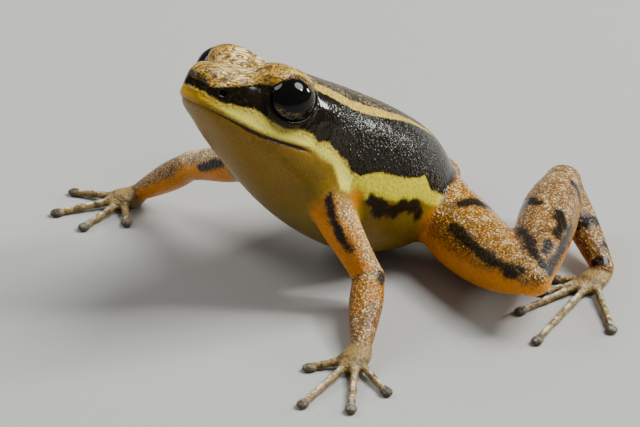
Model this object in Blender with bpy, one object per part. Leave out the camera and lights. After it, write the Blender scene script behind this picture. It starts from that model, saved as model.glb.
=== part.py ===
"""A life-size striped rocket frog, resting on the floor with its chest raised.

The frog faces -Y and its left side is +X. The body is one lofted form along a
straight line from snout to vent, parted at the neck. Each limb is a chain of
bones with named lengths and directions, and each bone is a node of its own,
parted from the next by a thin cut through the joint.
"""
import math
from typing import NamedTuple

import bmesh
import bpy
import numpy as np
from mathutils import Vector

MM = 0.001
GAP = 0.30                     # free space left between neighbouring nodes, mm

# Stance of the body
BODY_PITCH = math.radians(32.0)
BODY_ROLL = math.radians(5.5)  # left side higher
SNOUT = Vector((5.2, -14.2, 14.5))

# Head
NECK = 8.6                     # distance from the snout plane to the neck cut
JAW_CORNER = 7.6               # where the line of the mouth ends
MOUTH_START = 0.7
MOUTH_DEPTH = 0.16
LIP_SWELL = 0.05
LIP_ANGLE = math.radians(5.5)
EYE_RADIUS = 1.38
EYE_ALONG = 5.06
EYE_SIDE = 2.86
EYE_UP = 1.38
EYE_LOOK = Vector((-0.42, 0.80, 0.40))     # outward axis of the left eye
EYE_GAP = 0.14
LID_OPENING = math.radians(78.0)
LID_THICKNESS = 0.17
LID_STEPS = 28
BROW_ALONG = 5.00
BROW_SIDE = 1.93
BROW_UP = 2.06
BROW_RADII = (1.72, 1.44, 1.00)
NOSTRIL_ALONG = 1.62
NOSTRIL_SIDE = 1.38
NOSTRIL_UP = 0.42
NOSTRIL_RADII = (0.26, 0.24, 0.17)

# Bones, mm
UPPER_ARM = 5.7
FOREARM = 5.5
THIGH = 10.8
SHANK = 11.4
TARSUS = 6.2

# Digits
DIGIT_RADIUS = 0.27
DIGIT_HEIGHT = 0.20
DISC_RADII = (0.44, 0.38, 0.27)
ANKLE_HEIGHT = 0.78
FOOT_SHARE = 0.64              # how far the cut at a wrist or ankle turns towards the foot


class Section(NamedTuple):
    """One cross-section of the body, square to the line from snout to vent."""
    along: float
    half_width: float
    top: float
    bottom: float
    mouth: float
    square_above: float
    square_below: float


BODY = (
    Section(0.32, 0.02, 0.42, 0.38, 0.40, 2.2, 2.2),
    Section(0.38, 0.40, 1.02, -0.14, 0.10, 2.9, 2.2),
    Section(0.62, 0.74, 1.40, -0.50, -0.20, 3.1, 2.2),
    Section(1.25, 1.20, 1.64, -0.92, -0.48, 3.3, 2.2),
    Section(2.10, 1.80, 1.74, -1.34, -0.66, 3.4, 2.2),
    Section(3.40, 2.60, 1.92, -1.90, -0.75, 3.6, 2.2),
    Section(5.20, 3.42, 2.38, -2.80, -0.90, 3.6, 2.2),
    Section(7.50, 3.90, 2.85, -3.90, -1.10, 2.9, 2.1),
    Section(10.0, 4.05, 2.95, -4.90, -1.30, 2.5, 2.1),
    Section(13.0, 4.25, 2.98, -5.60, -1.50, 2.5, 2.1),
    Section(16.0, 4.35, 2.85, -5.75, -1.70, 2.4, 2.1),
    Section(18.6, 3.95, 2.45, -4.95, -1.80, 2.2, 2.1),
    Section(20.8, 3.05, 1.50, -3.55, -1.60, 2.1, 2.1),
    Section(22.3, 2.00, 0.50, -2.45, -1.30, 2.0, 2.0),
    Section(23.2, 1.00, -0.40, -1.85, -1.10, 2.0, 2.0),
    Section(23.45, 0.02, -1.04, -1.06, -1.05, 2.0, 2.0),
)


class Finish(NamedTuple):
    """Flat colour, roughness and metallic value of one node's surface."""
    colour: tuple
    roughness: float
    metallic: float


HEAD_SKIN = Finish((0.30, 0.19, 0.08), 0.42, 0.0)
TORSO_SKIN = Finish((0.09, 0.06, 0.03), 0.40, 0.0)
ARM_SKIN = Finish((0.55, 0.28, 0.10), 0.45, 0.0)
THIGH_SKIN = Finish((0.58, 0.22, 0.06), 0.42, 0.0)
SHANK_SKIN = Finish((0.46, 0.28, 0.12), 0.48, 0.0)
FOOT_SKIN = Finish((0.40, 0.30, 0.20), 0.50, 0.0)
EYE_GLOSS = Finish((0.012, 0.010, 0.008), 0.08, 0.0)


# Frames and points

def body_axes():
    """Unit vectors forward, left and up of the pitched and rolled body."""
    forward = Vector((0.0, -math.cos(BODY_PITCH), math.sin(BODY_PITCH)))
    level_left = Vector((1.0, 0.0, 0.0))
    level_up = forward.cross(level_left)
    left = level_left * math.cos(BODY_ROLL) + level_up * math.sin(BODY_ROLL)
    return forward, left, forward.cross(left)


FORWARD, LEFT, UP = body_axes()


def body_point(along, side, up):
    """A point given by its distances behind the snout, to the left and above the body line."""
    return SNOUT - FORWARD * along + LEFT * side + UP * up


def body_direction(along, side, up):
    """A direction given in the body's own axes, with along pointing to the vent."""
    return (LEFT * side + UP * up - FORWARD * along).normalized()


def compass(degrees):
    """Level direction, with 0 straight ahead (-Y) and 90 to the frog's left (+X)."""
    angle = math.radians(degrees)
    return Vector((math.sin(angle), -math.cos(angle), 0.0))


def reach(start, length, degrees, height):
    """End of a bone of the given length that leaves start and ends at a given height."""
    level = math.sqrt(length ** 2 - (height - start.z) ** 2)
    end = start + compass(degrees) * level
    return Vector((end.x, end.y, height))


# Meshes

def new_object(name, bm):
    """Turns a bmesh measured in mm into a linked object measured in metres."""
    bmesh.ops.scale(bm, vec=(MM, MM, MM), verts=bm.verts)
    bmesh.ops.recalc_face_normals(bm, faces=bm.faces)
    mesh = bpy.data.meshes.new(name)
    bm.to_mesh(mesh)
    bm.free()
    result = bpy.data.objects.new(name, mesh)
    bpy.context.collection.objects.link(result)
    return result


def loft(bm, rings):
    """Joins rings of equal length with quads and closes both ends with flat caps."""
    rows = [[bm.verts.new(point) for point in ring] for ring in rings]
    count = len(rows[0])
    for lower, upper in zip(rows, rows[1:]):
        for k in range(count):
            after = (k + 1) % count
            bm.faces.new((lower[k], lower[after], upper[after], upper[k]))
    bm.faces.new(rows[0])
    bm.faces.new(rows[-1])


def body_section(along):
    """The body's section at a distance along it, by a smooth curve through BODY."""
    last = len(BODY) - 2
    index = max(k for k in range(last + 1) if BODY[k].along <= along or k == 0)
    rows = [BODY[min(max(index + k, 0), last + 1)] for k in (-1, 0, 1, 2)]
    share = (along - rows[1].along) / (rows[2].along - rows[1].along)
    values = []
    for field in range(1, len(Section._fields)):
        before, here, after, beyond = (row[field] for row in rows)
        width = rows[2].along - rows[1].along
        slope_here = (after - before) / max(rows[2].along - rows[0].along, 1e-6) * width
        slope_after = (beyond - here) / max(rows[3].along - rows[1].along, 1e-6) * width
        if index == 0:
            slope_here = 3.0 * (after - here) - 2.0 * slope_after
        if index == last:
            slope_after = 3.0 * (after - here) - 2.0 * slope_here
        square, cube = share ** 2, share ** 3
        values.append(here * (2 * cube - 3 * square + 1) + after * (3 * square - 2 * cube)
                      + slope_here * (cube - 2 * square + share) + slope_after * (cube - square))
    return Section(along, *values)


def body_angles(count):
    """Angles round a section, with extra ones just above and below the line of the mouth."""
    quarter = [k / count for k in range(1, count)]
    side = [LIP_ANGLE * 0.45, LIP_ANGLE, LIP_ANGLE * 2.0]
    side += [LIP_ANGLE * 2.0 + q * (math.pi / 2 - LIP_ANGLE * 2.0) for q in quarter]
    upper_left = [0.0] + side + [math.pi / 2]
    upper = upper_left + [math.pi - angle for angle in reversed(upper_left[:-1])]
    return upper + [math.pi + angle for angle in upper[1:-1]]


def mouth_push(along, angle):
    """Outward push of the surface that draws the line of the mouth and the lips."""
    if not MOUTH_START < along < JAW_CORNER:
        return 0.0
    share = (along - MOUTH_START) / (JAW_CORNER - MOUTH_START)
    fade = min(1.0, 6.0 * share, 4.0 * (1.0 - share))
    away = min(abs(math.sin(angle / 2.0)), abs(math.cos(angle / 2.0))) * 2.0
    if away < LIP_ANGLE * 0.3:
        return -MOUTH_DEPTH * fade
    return LIP_SWELL * fade if away < LIP_ANGLE * 1.5 else 0.0


def body_ring(along, angles, swell=0.0, with_mouth=True):
    """Points of one section: a squared ellipse above and another below the mouth's level."""
    part = body_section(min(max(along, BODY[0].along), BODY[-1].along))
    width = max(part.half_width, 0.02) + swell
    points = []
    for angle in angles:
        cosine, sine = math.cos(angle), math.sin(angle)
        above = sine >= 0.0
        power = 2.0 / (part.square_above if above else part.square_below)
        height = (part.top - part.mouth if above else part.mouth - part.bottom) + swell
        push = mouth_push(along, angle) if with_mouth else 0.0
        side = (width + push) * math.copysign(abs(cosine) ** power, cosine)
        up = part.mouth + height * math.copysign(abs(sine) ** power, sine)
        points.append(body_point(along, side, up))
    return points


def spread(start, end, count, bunch_start=False, bunch_end=False):
    """Distances from start to end, closer together near the ends that are asked for."""
    values = []
    for k in range(count + 1):
        share = k / count
        if bunch_start and bunch_end:
            share = 0.5 - 0.5 * math.cos(math.pi * share)
        elif bunch_start:
            share = 1.0 - math.cos(0.5 * math.pi * share)
        elif bunch_end:
            share = math.sin(0.5 * math.pi * share)
        values.append(start + (end - start) * share)
    return values


def body_form(name, distances, angle_count, swell=0.0, with_mouth=True):
    """A closed length of the body, lofted through its sections."""
    angles = body_angles(angle_count)
    bm = bmesh.new()
    loft(bm, [body_ring(a, angles, swell, with_mouth) for a in distances])
    return new_object(name, bm)


def ball(name, centre, axes, radii, segments=20, rings=12):
    """A closed ellipsoid with its three radii along the given axes."""
    bm = bmesh.new()
    bmesh.ops.create_uvsphere(bm, u_segments=segments, v_segments=rings, radius=1.0)
    for vert in bm.verts:
        local = vert.co.copy()
        vert.co = centre + sum((axis * (r * c) for axis, r, c in zip(axes, radii, local)), Vector())
    return new_object(name, bm)


def frame_along(direction, near=Vector((0.0, 0.0, 1.0))):
    """Two unit vectors square to a direction, the second one nearest to the given one."""
    side = direction.cross(near).normalized()
    return side, side.cross(direction).normalized()


def ring_points(centre, side, up, radius, flat, count):
    """Points of an ellipse round a centre, flattened along up."""
    turns = [2.0 * math.pi * k / count for k in range(count)]
    return [centre + side * (radius * math.cos(t)) + up * (radius * flat * math.sin(t)) for t in turns]


def tube(name, points, radii, flat=1.0, count=12, steps=3):
    """A closed tapering tube with rounded ends along a curved run of points."""
    path, sizes = smooth_run(points, radii, steps)
    first = (path[1] - path[0]).normalized()
    final = (path[-1] - path[-2]).normalized()
    rings = []
    for turn in (0.15, 0.40, 0.72):
        offset, shrink = math.cos(turn * math.pi / 2), math.sin(turn * math.pi / 2)
        side, up = frame_along(first)
        rings.append(ring_points(path[0] - first * (sizes[0] * offset), side, up,
                                 sizes[0] * shrink, flat, count))
    for k, (centre, size) in enumerate(zip(path, sizes)):
        ahead = path[min(k + 1, len(path) - 1)] - path[max(k - 1, 0)]
        side, up = frame_along(ahead.normalized())
        rings.append(ring_points(centre, side, up, size, flat, count))
    for turn in (0.72, 0.40, 0.15):
        offset, shrink = math.cos(turn * math.pi / 2), math.sin(turn * math.pi / 2)
        side, up = frame_along(final)
        rings.append(ring_points(path[-1] + final * (sizes[-1] * offset), side, up,
                                 sizes[-1] * shrink, flat, count))
    bm = bmesh.new()
    loft(bm, rings)
    return new_object(name, bm)


def smooth_run(points, radii, steps):
    """Points and radii filled in by a smooth curve through the given ones."""
    path, sizes = [], []
    last = len(points) - 1
    for k in range(last):
        four = [min(max(k + j, 0), last) for j in (-1, 0, 1, 2)]
        for step in range(steps):
            t = step / steps
            weights = (-t + 2 * t * t - t ** 3, 2 - 5 * t * t + 3 * t ** 3,
                       t + 4 * t * t - 3 * t ** 3, t ** 3 - t * t)
            path.append(sum((points[i] * (w / 2) for i, w in zip(four, weights)), Vector()))
            sizes.append(sum(radii[i] * w / 2 for i, w in zip(four, weights)))
    return path + [points[-1]], sizes + [radii[-1]]


# Cutting and joining

def keep_side(target, point, outward):
    """Cuts a closed mesh by a plane, keeps the side behind it and fills the cut flat."""
    bm = bmesh.new()
    bm.from_mesh(target.data)
    geometry = list(bm.verts) + list(bm.edges) + list(bm.faces)
    cut = bmesh.ops.bisect_plane(bm, geom=geometry, dist=1e-8, plane_co=point * MM,
                                 plane_no=outward, clear_outer=True)
    rim = [item for item in cut["geom_cut"] if isinstance(item, bmesh.types.BMEdge)]
    bmesh.ops.edgeloop_fill(bm, edges=rim)
    bmesh.ops.recalc_face_normals(bm, faces=bm.faces)
    bm.to_mesh(target.data)
    bm.free()


def apply_modifiers(target):
    """Replaces a mesh with the result of its modifiers."""
    graph = bpy.context.evaluated_depsgraph_get()
    mesh = bpy.data.meshes.new_from_object(target.evaluated_get(graph))
    target.modifiers.clear()
    target.data = mesh


def subtract(target, cutter):
    """Cuts one closed mesh out of another and removes the cutter."""
    cutter.hide_render = True
    cutter.display_type = "WIRE"
    modifier = target.modifiers.new("cut", "BOOLEAN")
    modifier.operation = "DIFFERENCE"
    modifier.solver = "EXACT"
    modifier.object = cutter
    apply_modifiers(target)
    bpy.data.objects.remove(cutter)


def unite(target, pieces):
    """Joins closed meshes to another in one Boolean union and removes them."""
    group = bpy.data.collections.new("pieces")
    bpy.context.scene.collection.children.link(group)
    for piece in pieces:
        group.objects.link(piece)
        bpy.context.collection.objects.unlink(piece)
    modifier = target.modifiers.new("union", "BOOLEAN")
    modifier.operation = "UNION"
    modifier.solver = "EXACT"
    modifier.operand_type = "COLLECTION"
    modifier.collection = group
    apply_modifiers(target)
    for piece in pieces:
        bpy.data.objects.remove(piece)
    bpy.data.collections.remove(group)


def largest_surface(target):
    """Keeps only the largest closed surface of a mesh."""
    bm = bmesh.new()
    bm.from_mesh(target.data)
    bmesh.ops.remove_doubles(bm, verts=bm.verts, dist=1e-8)
    left = set(bm.faces)
    groups = []
    while left:
        edge_of = [left.pop()]
        group = set(edge_of)
        while edge_of:
            face = edge_of.pop()
            for near in (f for e in face.edges for f in e.link_faces if f in left):
                left.discard(near)
                group.add(near)
                edge_of.append(near)
        groups.append(group)
    keep = max(groups, key=lambda faces: sum(face.calc_area() for face in faces))
    bmesh.ops.delete(bm, geom=[face for face in bm.faces if face not in keep], context="FACES")
    bm.to_mesh(target.data)
    bm.free()


def paint(target, finish):
    """Gives a node its own Principled material."""
    material = bpy.data.materials.new(target.name)
    material.use_nodes = True
    shader = material.node_tree.nodes["Principled BSDF"]
    shader.inputs["Base Color"].default_value = (*finish.colour, 1.0)
    shader.inputs["Roughness"].default_value = finish.roughness
    shader.inputs["Metallic"].default_value = finish.metallic
    material.diffuse_color = (*finish.colour, 1.0)
    target.data.materials.clear()
    target.data.materials.append(material)


# Head and torso

def eye_centre(sign):
    """Centre of the eyeball on the left (1) or right (-1)."""
    return body_point(EYE_ALONG, sign * EYE_SIDE, EYE_UP)


def eye_axis(sign):
    """Direction in which an eye looks."""
    return body_direction(EYE_LOOK.x, sign * EYE_LOOK.y, EYE_LOOK.z)


def lid_cup(sign):
    """The rim of skin round an eye: a shell about the eyeball, open where the eye looks out."""
    seat = EYE_RADIUS + EYE_GAP
    radius = seat + LID_THICKNESS
    cup = ball("lid", eye_centre(sign), (FORWARD, LEFT, UP), (radius,) * 3, 26, 18)
    rim = eye_centre(sign) + eye_axis(sign) * (seat * math.cos(LID_OPENING))
    keep_side(cup, rim, eye_axis(sign))
    return cup


def lid_fold(sign):
    """The rounded margin of the lids, thicker above than below."""
    axis = eye_axis(sign)
    side, up = frame_along(axis, UP)
    seat = EYE_RADIUS + EYE_GAP
    centre = eye_centre(sign) + axis * (seat * math.cos(LID_OPENING))
    rows = []
    bm = bmesh.new()
    for k in range(LID_STEPS):
        turn = 2.0 * math.pi * k / LID_STEPS
        outward = side * math.cos(turn) + up * math.sin(turn)
        thickness = LID_THICKNESS * (0.75 + 0.20 * math.sin(turn))
        middle = centre + outward * (seat * math.sin(LID_OPENING) + LID_THICKNESS * 0.55)
        rows.append([bm.verts.new(p) for p in ring_points(middle, outward, axis, thickness, 1.0, 8)])
    for k, row in enumerate(rows):
        after = rows[(k + 1) % LID_STEPS]
        for j in range(8):
            bm.faces.new((row[j], row[(j + 1) % 8], after[(j + 1) % 8], after[j]))
    return new_object("fold", bm)


def brow(sign):
    """The rounded upper lid that stands above the top of the head."""
    centre = body_point(BROW_ALONG, sign * BROW_SIDE, BROW_UP)
    return ball("brow", centre, (FORWARD, LEFT, UP), BROW_RADII)


def socket(sign):
    """The hollow that an eyeball sits in."""
    radius = EYE_RADIUS + EYE_GAP
    return ball("socket", eye_centre(sign), (FORWARD, LEFT, UP), (radius,) * 3, 24, 16)


def nostril(sign):
    """The small pit of a nostril."""
    centre = body_point(NOSTRIL_ALONG, sign * NOSTRIL_SIDE, NOSTRIL_UP)
    return ball("pit", centre, (FORWARD, LEFT, UP), NOSTRIL_RADII, 10, 6)


def make_head():
    """Head with lips, line of the mouth, brows, lids, eye hollows and nostrils."""
    distances = spread(BODY[0].along, 1.6, 7, bunch_start=True)
    distances += spread(1.6, NECK - GAP / 2, 13)[1:]
    head = body_form("head", distances, 9)
    forms = (brow, lid_cup, lid_fold)
    unite(head, [form(sign) for form in forms for sign in (1, -1)])
    for sign in (1, -1):
        subtract(head, socket(sign))
        subtract(head, nostril(sign))
    largest_surface(head)
    paint(head, HEAD_SKIN)
    return head


def make_torso():
    """Torso from the neck to the vent."""
    distances = spread(NECK + GAP / 2, BODY[-1].along, 20, bunch_end=True)
    torso = body_form("torso", distances, 7, with_mouth=False)
    paint(torso, TORSO_SKIN)
    return torso


def make_eye(name, sign):
    """A glossy eyeball."""
    eye = ball(name, eye_centre(sign), (FORWARD, LEFT, UP), (EYE_RADIUS,) * 3, 24, 16)
    paint(eye, EYE_GLOSS)
    return eye


def clearance():
    """The body grown by the gap, to cut the roots of the limbs face to face with it."""
    distances = spread(BODY[0].along - GAP, BODY[-1].along + GAP, 30, True, True)
    return body_form("clearance", distances, 7, GAP, with_mouth=False)


# Limbs

def bone(name, start, end, profile, flat, finish, bend=(0.0, 0.0)):
    """One length of a limb: a tube with a muscle profile, its middle bent to the side and up."""
    side, up = frame_along((end - start).normalized())
    bow = side * bend[0] + up * bend[1]
    points = [start.lerp(end, share) + bow * (4.0 * share * (1.0 - share)) for share, _ in profile]
    piece = tube(name, points, [radius for _, radius in profile], flat, 14, 2)
    paint(piece, finish)
    return piece


def part_at(joint, first, first_root, second, second_tip, share=0.5):
    """Parts two bones at their common joint by one plane; at a share of 0.5 it halves the bend."""
    along_first = (joint - first_root).normalized()
    along_second = (second_tip - joint).normalized()
    normal = along_first.lerp(along_second, share).normalized()
    keep_side(first, joint - normal * (GAP / 2), normal)
    keep_side(second, joint + normal * (GAP / 2), -normal)


def digit(start, tip, swell):
    """A finger or toe that leaves a palm or sole and lies on the floor up to its disc."""
    level = Vector((tip.x - start.x, tip.y - start.y, 0.0)).normalized()
    middle = start.lerp(tip, 0.5)
    middle.z = DIGIT_HEIGHT + 0.10
    radii = [DIGIT_RADIUS * swell, DIGIT_RADIUS, DIGIT_RADIUS * 0.93]
    shaft = tube("shaft", [start, middle, tip], radii, 1.0, 8, 3)
    across = Vector((-level.y, level.x, 0.0))
    disc = ball("disc", tip, (level, across, Vector((0.0, 0.0, 1.0))), DISC_RADII, 12, 8)
    return [shaft, disc]


def spread_foot(name, root, pad_radii, pad_heading, digits):
    """A palm or sole with its digits; each digit has a heading and a length from the root."""
    forward = compass(pad_heading)
    across = compass(pad_heading + 90.0)
    centre = root + forward * (pad_radii[0] * 0.6)
    centre.z = pad_radii[2] * 0.8
    pad = ball(name, centre, (forward, across, Vector((0.0, 0.0, 1.0))), pad_radii, 16, 10)
    pieces = []
    for heading, length in digits:
        tip = root + compass(heading) * length
        tip.z = DIGIT_HEIGHT
        slant = math.sin(math.radians(heading - pad_heading))
        start = centre + across * (pad_radii[1] * 0.7 * slant) + forward * (pad_radii[0] * 0.25)
        pieces += digit(start, tip, 1.35)
    unite(pad, pieces)
    return pad


def finish_foot(pad, finish):
    """Flattens a palm or sole on the floor and paints it."""
    keep_side(pad, Vector((0, 0, 0)), Vector((0, 0, -1)))
    largest_surface(pad)
    paint(pad, finish)


class Arm(NamedTuple):
    """Pose of one arm: its shoulder in body measures, and where each bone points."""
    side: str
    shoulder: tuple
    elbow_heading: float
    elbow_height: float
    wrist_heading: float
    wrist_height: float
    palm_heading: float
    fingers: tuple


LEFT_ARM = Arm("left", (9.9, 3.1, -2.9), 129.5, 2.05, 45.0, 0.72, 26.0,
               ((-15.0, 3.1), (18.0, 5.9), (44.0, 5.5), (70.0, 3.9)))
RIGHT_ARM = Arm("right", (9.9, -3.1, -2.9), -91.0, 4.1, -82.0, 0.72, -15.0,
                ((38.0, 2.8), (8.0, 4.5), (-20.0, 5.0), (-52.0, 3.9)))


def make_arm(arm):
    """Upper arm, forearm and hand of one side."""
    shoulder = body_point(*arm.shoulder)
    elbow = reach(shoulder, UPPER_ARM, arm.elbow_heading, arm.elbow_height)
    wrist = reach(elbow, FOREARM, arm.wrist_heading, arm.wrist_height)
    upper = bone(arm.side + "_upper_arm", shoulder, elbow,
                 ((0.0, 1.15), (0.35, 1.15), (0.7, 1.0), (1.0, 0.92)), 0.95, ARM_SKIN)
    lower = bone(arm.side + "_forearm", elbow, wrist,
                 ((0.0, 0.90), (0.35, 0.95), (0.7, 0.80), (1.0, 0.66)), 0.92, ARM_SKIN)
    hand = spread_foot(arm.side + "_hand", wrist, (1.30, 0.85, 0.62), arm.palm_heading,
                       arm.fingers)
    subtract(upper, clearance())
    largest_surface(upper)
    part_at(elbow, upper, shoulder, lower, wrist)
    part_at(wrist, lower, elbow, hand, wrist + compass(arm.palm_heading), FOOT_SHARE)
    finish_foot(hand, FOOT_SKIN)
    return [upper, lower, hand]


class Leg(NamedTuple):
    """Pose of one hind leg: its hip in body measures, and where each bone points."""
    side: str
    hip: tuple
    knee_heading: float
    knee_height: float
    heel_heading: float
    heel_height: float
    sole_heading: float
    toe_heading: float
    thigh_bend: tuple
    shank_bend: tuple
    toes: tuple


LEFT_LEG = Leg("left", (20.4, 2.2, -1.4), 77.0, 3.35, -141.7, 3.3, 71.6, 16.0,
               (0.0, -0.70), (-0.20, 0.0),
               ((-30.0, 2.7), (-11.0, 3.9), (0.0, 6.3), (20.5, 8.3), (51.0, 5.9)))
RIGHT_LEG = Leg("right", (20.4, -2.2, -1.4), -100.5, 2.75, 100.0, 1.7, -106.0, -12.0,
                (0.0, -0.08), (0.20, 0.0),
                ((32.0, 2.7), (16.0, 3.9), (3.0, 6.3), (-16.0, 8.3), (-44.0, 5.9)))


def make_leg(leg):
    """Thigh, shank, tarsus and foot of one side."""
    hip = body_point(*leg.hip)
    knee = reach(hip, THIGH, leg.knee_heading, leg.knee_height)
    heel = reach(knee, SHANK, leg.heel_heading, leg.heel_height)
    ankle = reach(heel, TARSUS, leg.sole_heading, ANKLE_HEIGHT)
    thigh = bone(leg.side + "_thigh", hip, knee,
                 ((0.0, 2.05), (0.3, 2.20), (0.65, 1.85), (1.0, 1.08)), 0.92, THIGH_SKIN,
                 leg.thigh_bend)
    shank = bone(leg.side + "_shank", knee, heel,
                 ((0.0, 1.06), (0.35, 1.61), (0.7, 1.68), (1.0, 1.14)), 0.95, SHANK_SKIN,
                 leg.shank_bend)
    tarsus = bone(leg.side + "_tarsus", heel, ankle,
                  ((0.0, 0.98), (0.3, 1.00), (0.7, 0.88), (1.0, 0.68)), 0.95, SHANK_SKIN)
    foot = spread_foot(leg.side + "_foot", ankle, (1.60, 0.80, 0.52), leg.toe_heading,
                       leg.toes)
    subtract(thigh, clearance())
    largest_surface(thigh)
    part_at(knee, thigh, hip, shank, heel)
    part_at(heel, shank, knee, tarsus, ankle)
    part_at(ankle, tarsus, heel, foot, ankle + compass(leg.toe_heading), FOOT_SHARE)
    finish_foot(foot, FOOT_SKIN)
    return [thigh, shank, tarsus, foot]


# Assembly

def centre_on_floor(nodes):
    """Moves every mesh so that the origin lies under the middle of the whole frog."""
    corners = np.array([vert.co for node in nodes for vert in node.data.vertices])
    low, high = corners.min(axis=0), corners.max(axis=0)
    shift = Vector((-(low[0] + high[0]) / 2, -(low[1] + high[1]) / 2, -low[2]))
    for node in nodes:
        for vert in node.data.vertices:
            vert.co += shift


def main():
    """Builds every node of the frog."""
    for old in list(bpy.data.objects):
        bpy.data.objects.remove(old)
    nodes = [make_head(), make_torso(), make_eye("left_eye", 1), make_eye("right_eye", -1)]
    nodes += make_arm(LEFT_ARM) + make_arm(RIGHT_ARM)
    nodes += make_leg(LEFT_LEG) + make_leg(RIGHT_LEG)
    centre_on_floor(nodes)


main()
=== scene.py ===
"""Dressed model of the striped rocket frog: one skin over all the flesh, two eyes, floor, light, camera."""
import logging
import math
from dataclasses import dataclass, field
from enum import Enum

import bmesh
import bpy
import numpy as np
from mathutils import Matrix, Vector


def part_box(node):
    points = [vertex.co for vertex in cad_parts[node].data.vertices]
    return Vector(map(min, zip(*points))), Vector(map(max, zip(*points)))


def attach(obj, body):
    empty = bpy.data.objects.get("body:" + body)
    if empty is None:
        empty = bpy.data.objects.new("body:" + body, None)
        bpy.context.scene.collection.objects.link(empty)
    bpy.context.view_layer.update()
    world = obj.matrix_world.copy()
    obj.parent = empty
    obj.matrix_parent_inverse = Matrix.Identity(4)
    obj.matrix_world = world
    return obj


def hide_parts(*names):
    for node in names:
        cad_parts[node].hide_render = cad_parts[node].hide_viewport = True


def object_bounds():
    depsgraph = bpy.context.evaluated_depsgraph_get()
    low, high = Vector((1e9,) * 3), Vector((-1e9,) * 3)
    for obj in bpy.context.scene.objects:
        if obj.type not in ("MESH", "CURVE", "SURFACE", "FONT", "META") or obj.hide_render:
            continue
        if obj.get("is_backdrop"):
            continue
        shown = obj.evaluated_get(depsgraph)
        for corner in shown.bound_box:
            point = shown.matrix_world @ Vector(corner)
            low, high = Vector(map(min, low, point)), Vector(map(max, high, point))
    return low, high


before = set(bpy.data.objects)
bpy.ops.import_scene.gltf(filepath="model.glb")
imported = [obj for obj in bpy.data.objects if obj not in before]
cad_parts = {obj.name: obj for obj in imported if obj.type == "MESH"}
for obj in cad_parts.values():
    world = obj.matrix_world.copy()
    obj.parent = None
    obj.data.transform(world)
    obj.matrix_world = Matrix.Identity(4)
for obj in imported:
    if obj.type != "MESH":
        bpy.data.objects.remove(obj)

MM = 0.001
LOG = logging.getLogger("frog")

# How the body stands and where its parts lie, the same values as the solids have, in mm.
BODY_PITCH = math.radians(32.0)
BODY_ROLL = math.radians(5.5)
SNOUT = np.array([5.2, -14.2, 14.5])
EYE_RADIUS = 1.38
EYE_PLACE = (5.06, 2.86, 1.38)
EYE_LOOK = (-0.42, 0.80, 0.40)
BROW_PLACE = (5.00, 1.93, 2.06)
BROW_RADII = (1.70, 1.43, 0.99)
NOSTRIL_PLACE = (1.62, 1.38, 0.42)
UPPER_ARM, FOREARM = 5.7, 5.5
THIGH, SHANK, TARSUS = 10.8, 11.4, 6.2
ANKLE_HEIGHT = 0.78
DIGIT_HEIGHT = 0.20
FAR = 9.0

# Cross-sections from snout to vent: along, half width, top, bottom, mouth level, squareness above and below.
SECTIONS = np.array([
    (0.32, 0.02, 0.42, 0.38, 0.40, 2.2, 2.2),
    (0.38, 0.40, 1.02, -0.14, 0.10, 2.9, 2.2),
    (0.62, 0.74, 1.40, -0.50, -0.20, 3.1, 2.2),
    (1.25, 1.20, 1.64, -0.92, -0.48, 3.3, 2.2),
    (2.10, 1.80, 1.74, -1.34, -0.66, 3.4, 2.2),
    (3.40, 2.60, 1.92, -1.90, -0.75, 3.6, 2.2),
    (5.20, 3.42, 2.38, -2.80, -0.90, 3.6, 2.2),
    (7.50, 3.90, 2.85, -3.90, -1.10, 2.9, 2.1),
    (10.0, 4.05, 2.95, -4.90, -1.30, 2.5, 2.1),
    (13.0, 4.25, 2.98, -5.60, -1.50, 2.5, 2.1),
    (16.0, 4.35, 2.85, -5.75, -1.70, 2.4, 2.1),
    (18.6, 3.95, 2.45, -4.95, -1.80, 2.2, 2.1),
    (20.8, 3.05, 1.50, -3.55, -1.60, 2.1, 2.1),
    (22.3, 2.00, 0.50, -2.45, -1.30, 2.0, 2.0),
    (23.2, 1.00, -0.40, -1.85, -1.10, 2.0, 2.0),
    (23.45, 0.02, -1.04, -1.06, -1.05, 2.0, 2.0)])


class Side(Enum):
    """The two sides of the body, each with the sign of its offset from the middle."""
    LEFT = 1.0
    RIGHT = -1.0


# Small helpers on whole arrays

def unit(vector: np.ndarray) -> np.ndarray:
    """A vector over its length, which isn't zero."""
    return vector / np.linalg.norm(vector)


def compass(degrees: float) -> np.ndarray:
    """Level direction, with 0 straight ahead and 90 to the frog's left: (sin, -cos, 0) of the angle."""
    angle = math.radians(degrees)
    return np.array([math.sin(angle), -math.cos(angle), 0.0])


def reach(start: np.ndarray, length: float, degrees: float, height: float) -> np.ndarray:
    """End of a bone, whose level run is the root of length squared less the rise squared.

    Args:
        start: Where the bone begins, mm.
        length: Its length, mm.
        degrees: Its heading.
        height: Height of its end, mm.

    Returns:
        The end of the bone, mm.
    """
    level = math.sqrt(length ** 2 - (height - start[2]) ** 2)
    end = start + compass(degrees) * level
    end[2] = height
    return end


def smooth_step(low: float, high: float, value: np.ndarray) -> np.ndarray:
    """Rise from 0 at low to 1 at high along 3t squared less 2t cubed; a fall where high is less than low."""
    t = np.clip((value - low) / (high - low), 0.0, 1.0)
    return t * t * (3.0 - 2.0 * t)


def merge(first: np.ndarray, second: np.ndarray, blend: float) -> np.ndarray:
    """Smooth union: the smaller distance, less a quarter of blend (mm) times the squared overlap share."""
    share = np.maximum(blend - np.abs(first - second), 0.0) / blend
    return np.minimum(first, second) - share * share * blend * 0.25


def carve(first: np.ndarray, second: np.ndarray, blend: float) -> np.ndarray:
    """Smooth cut of the second form out of the first, with an edge blend mm wide."""
    return -merge(-first, second, blend)


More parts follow.
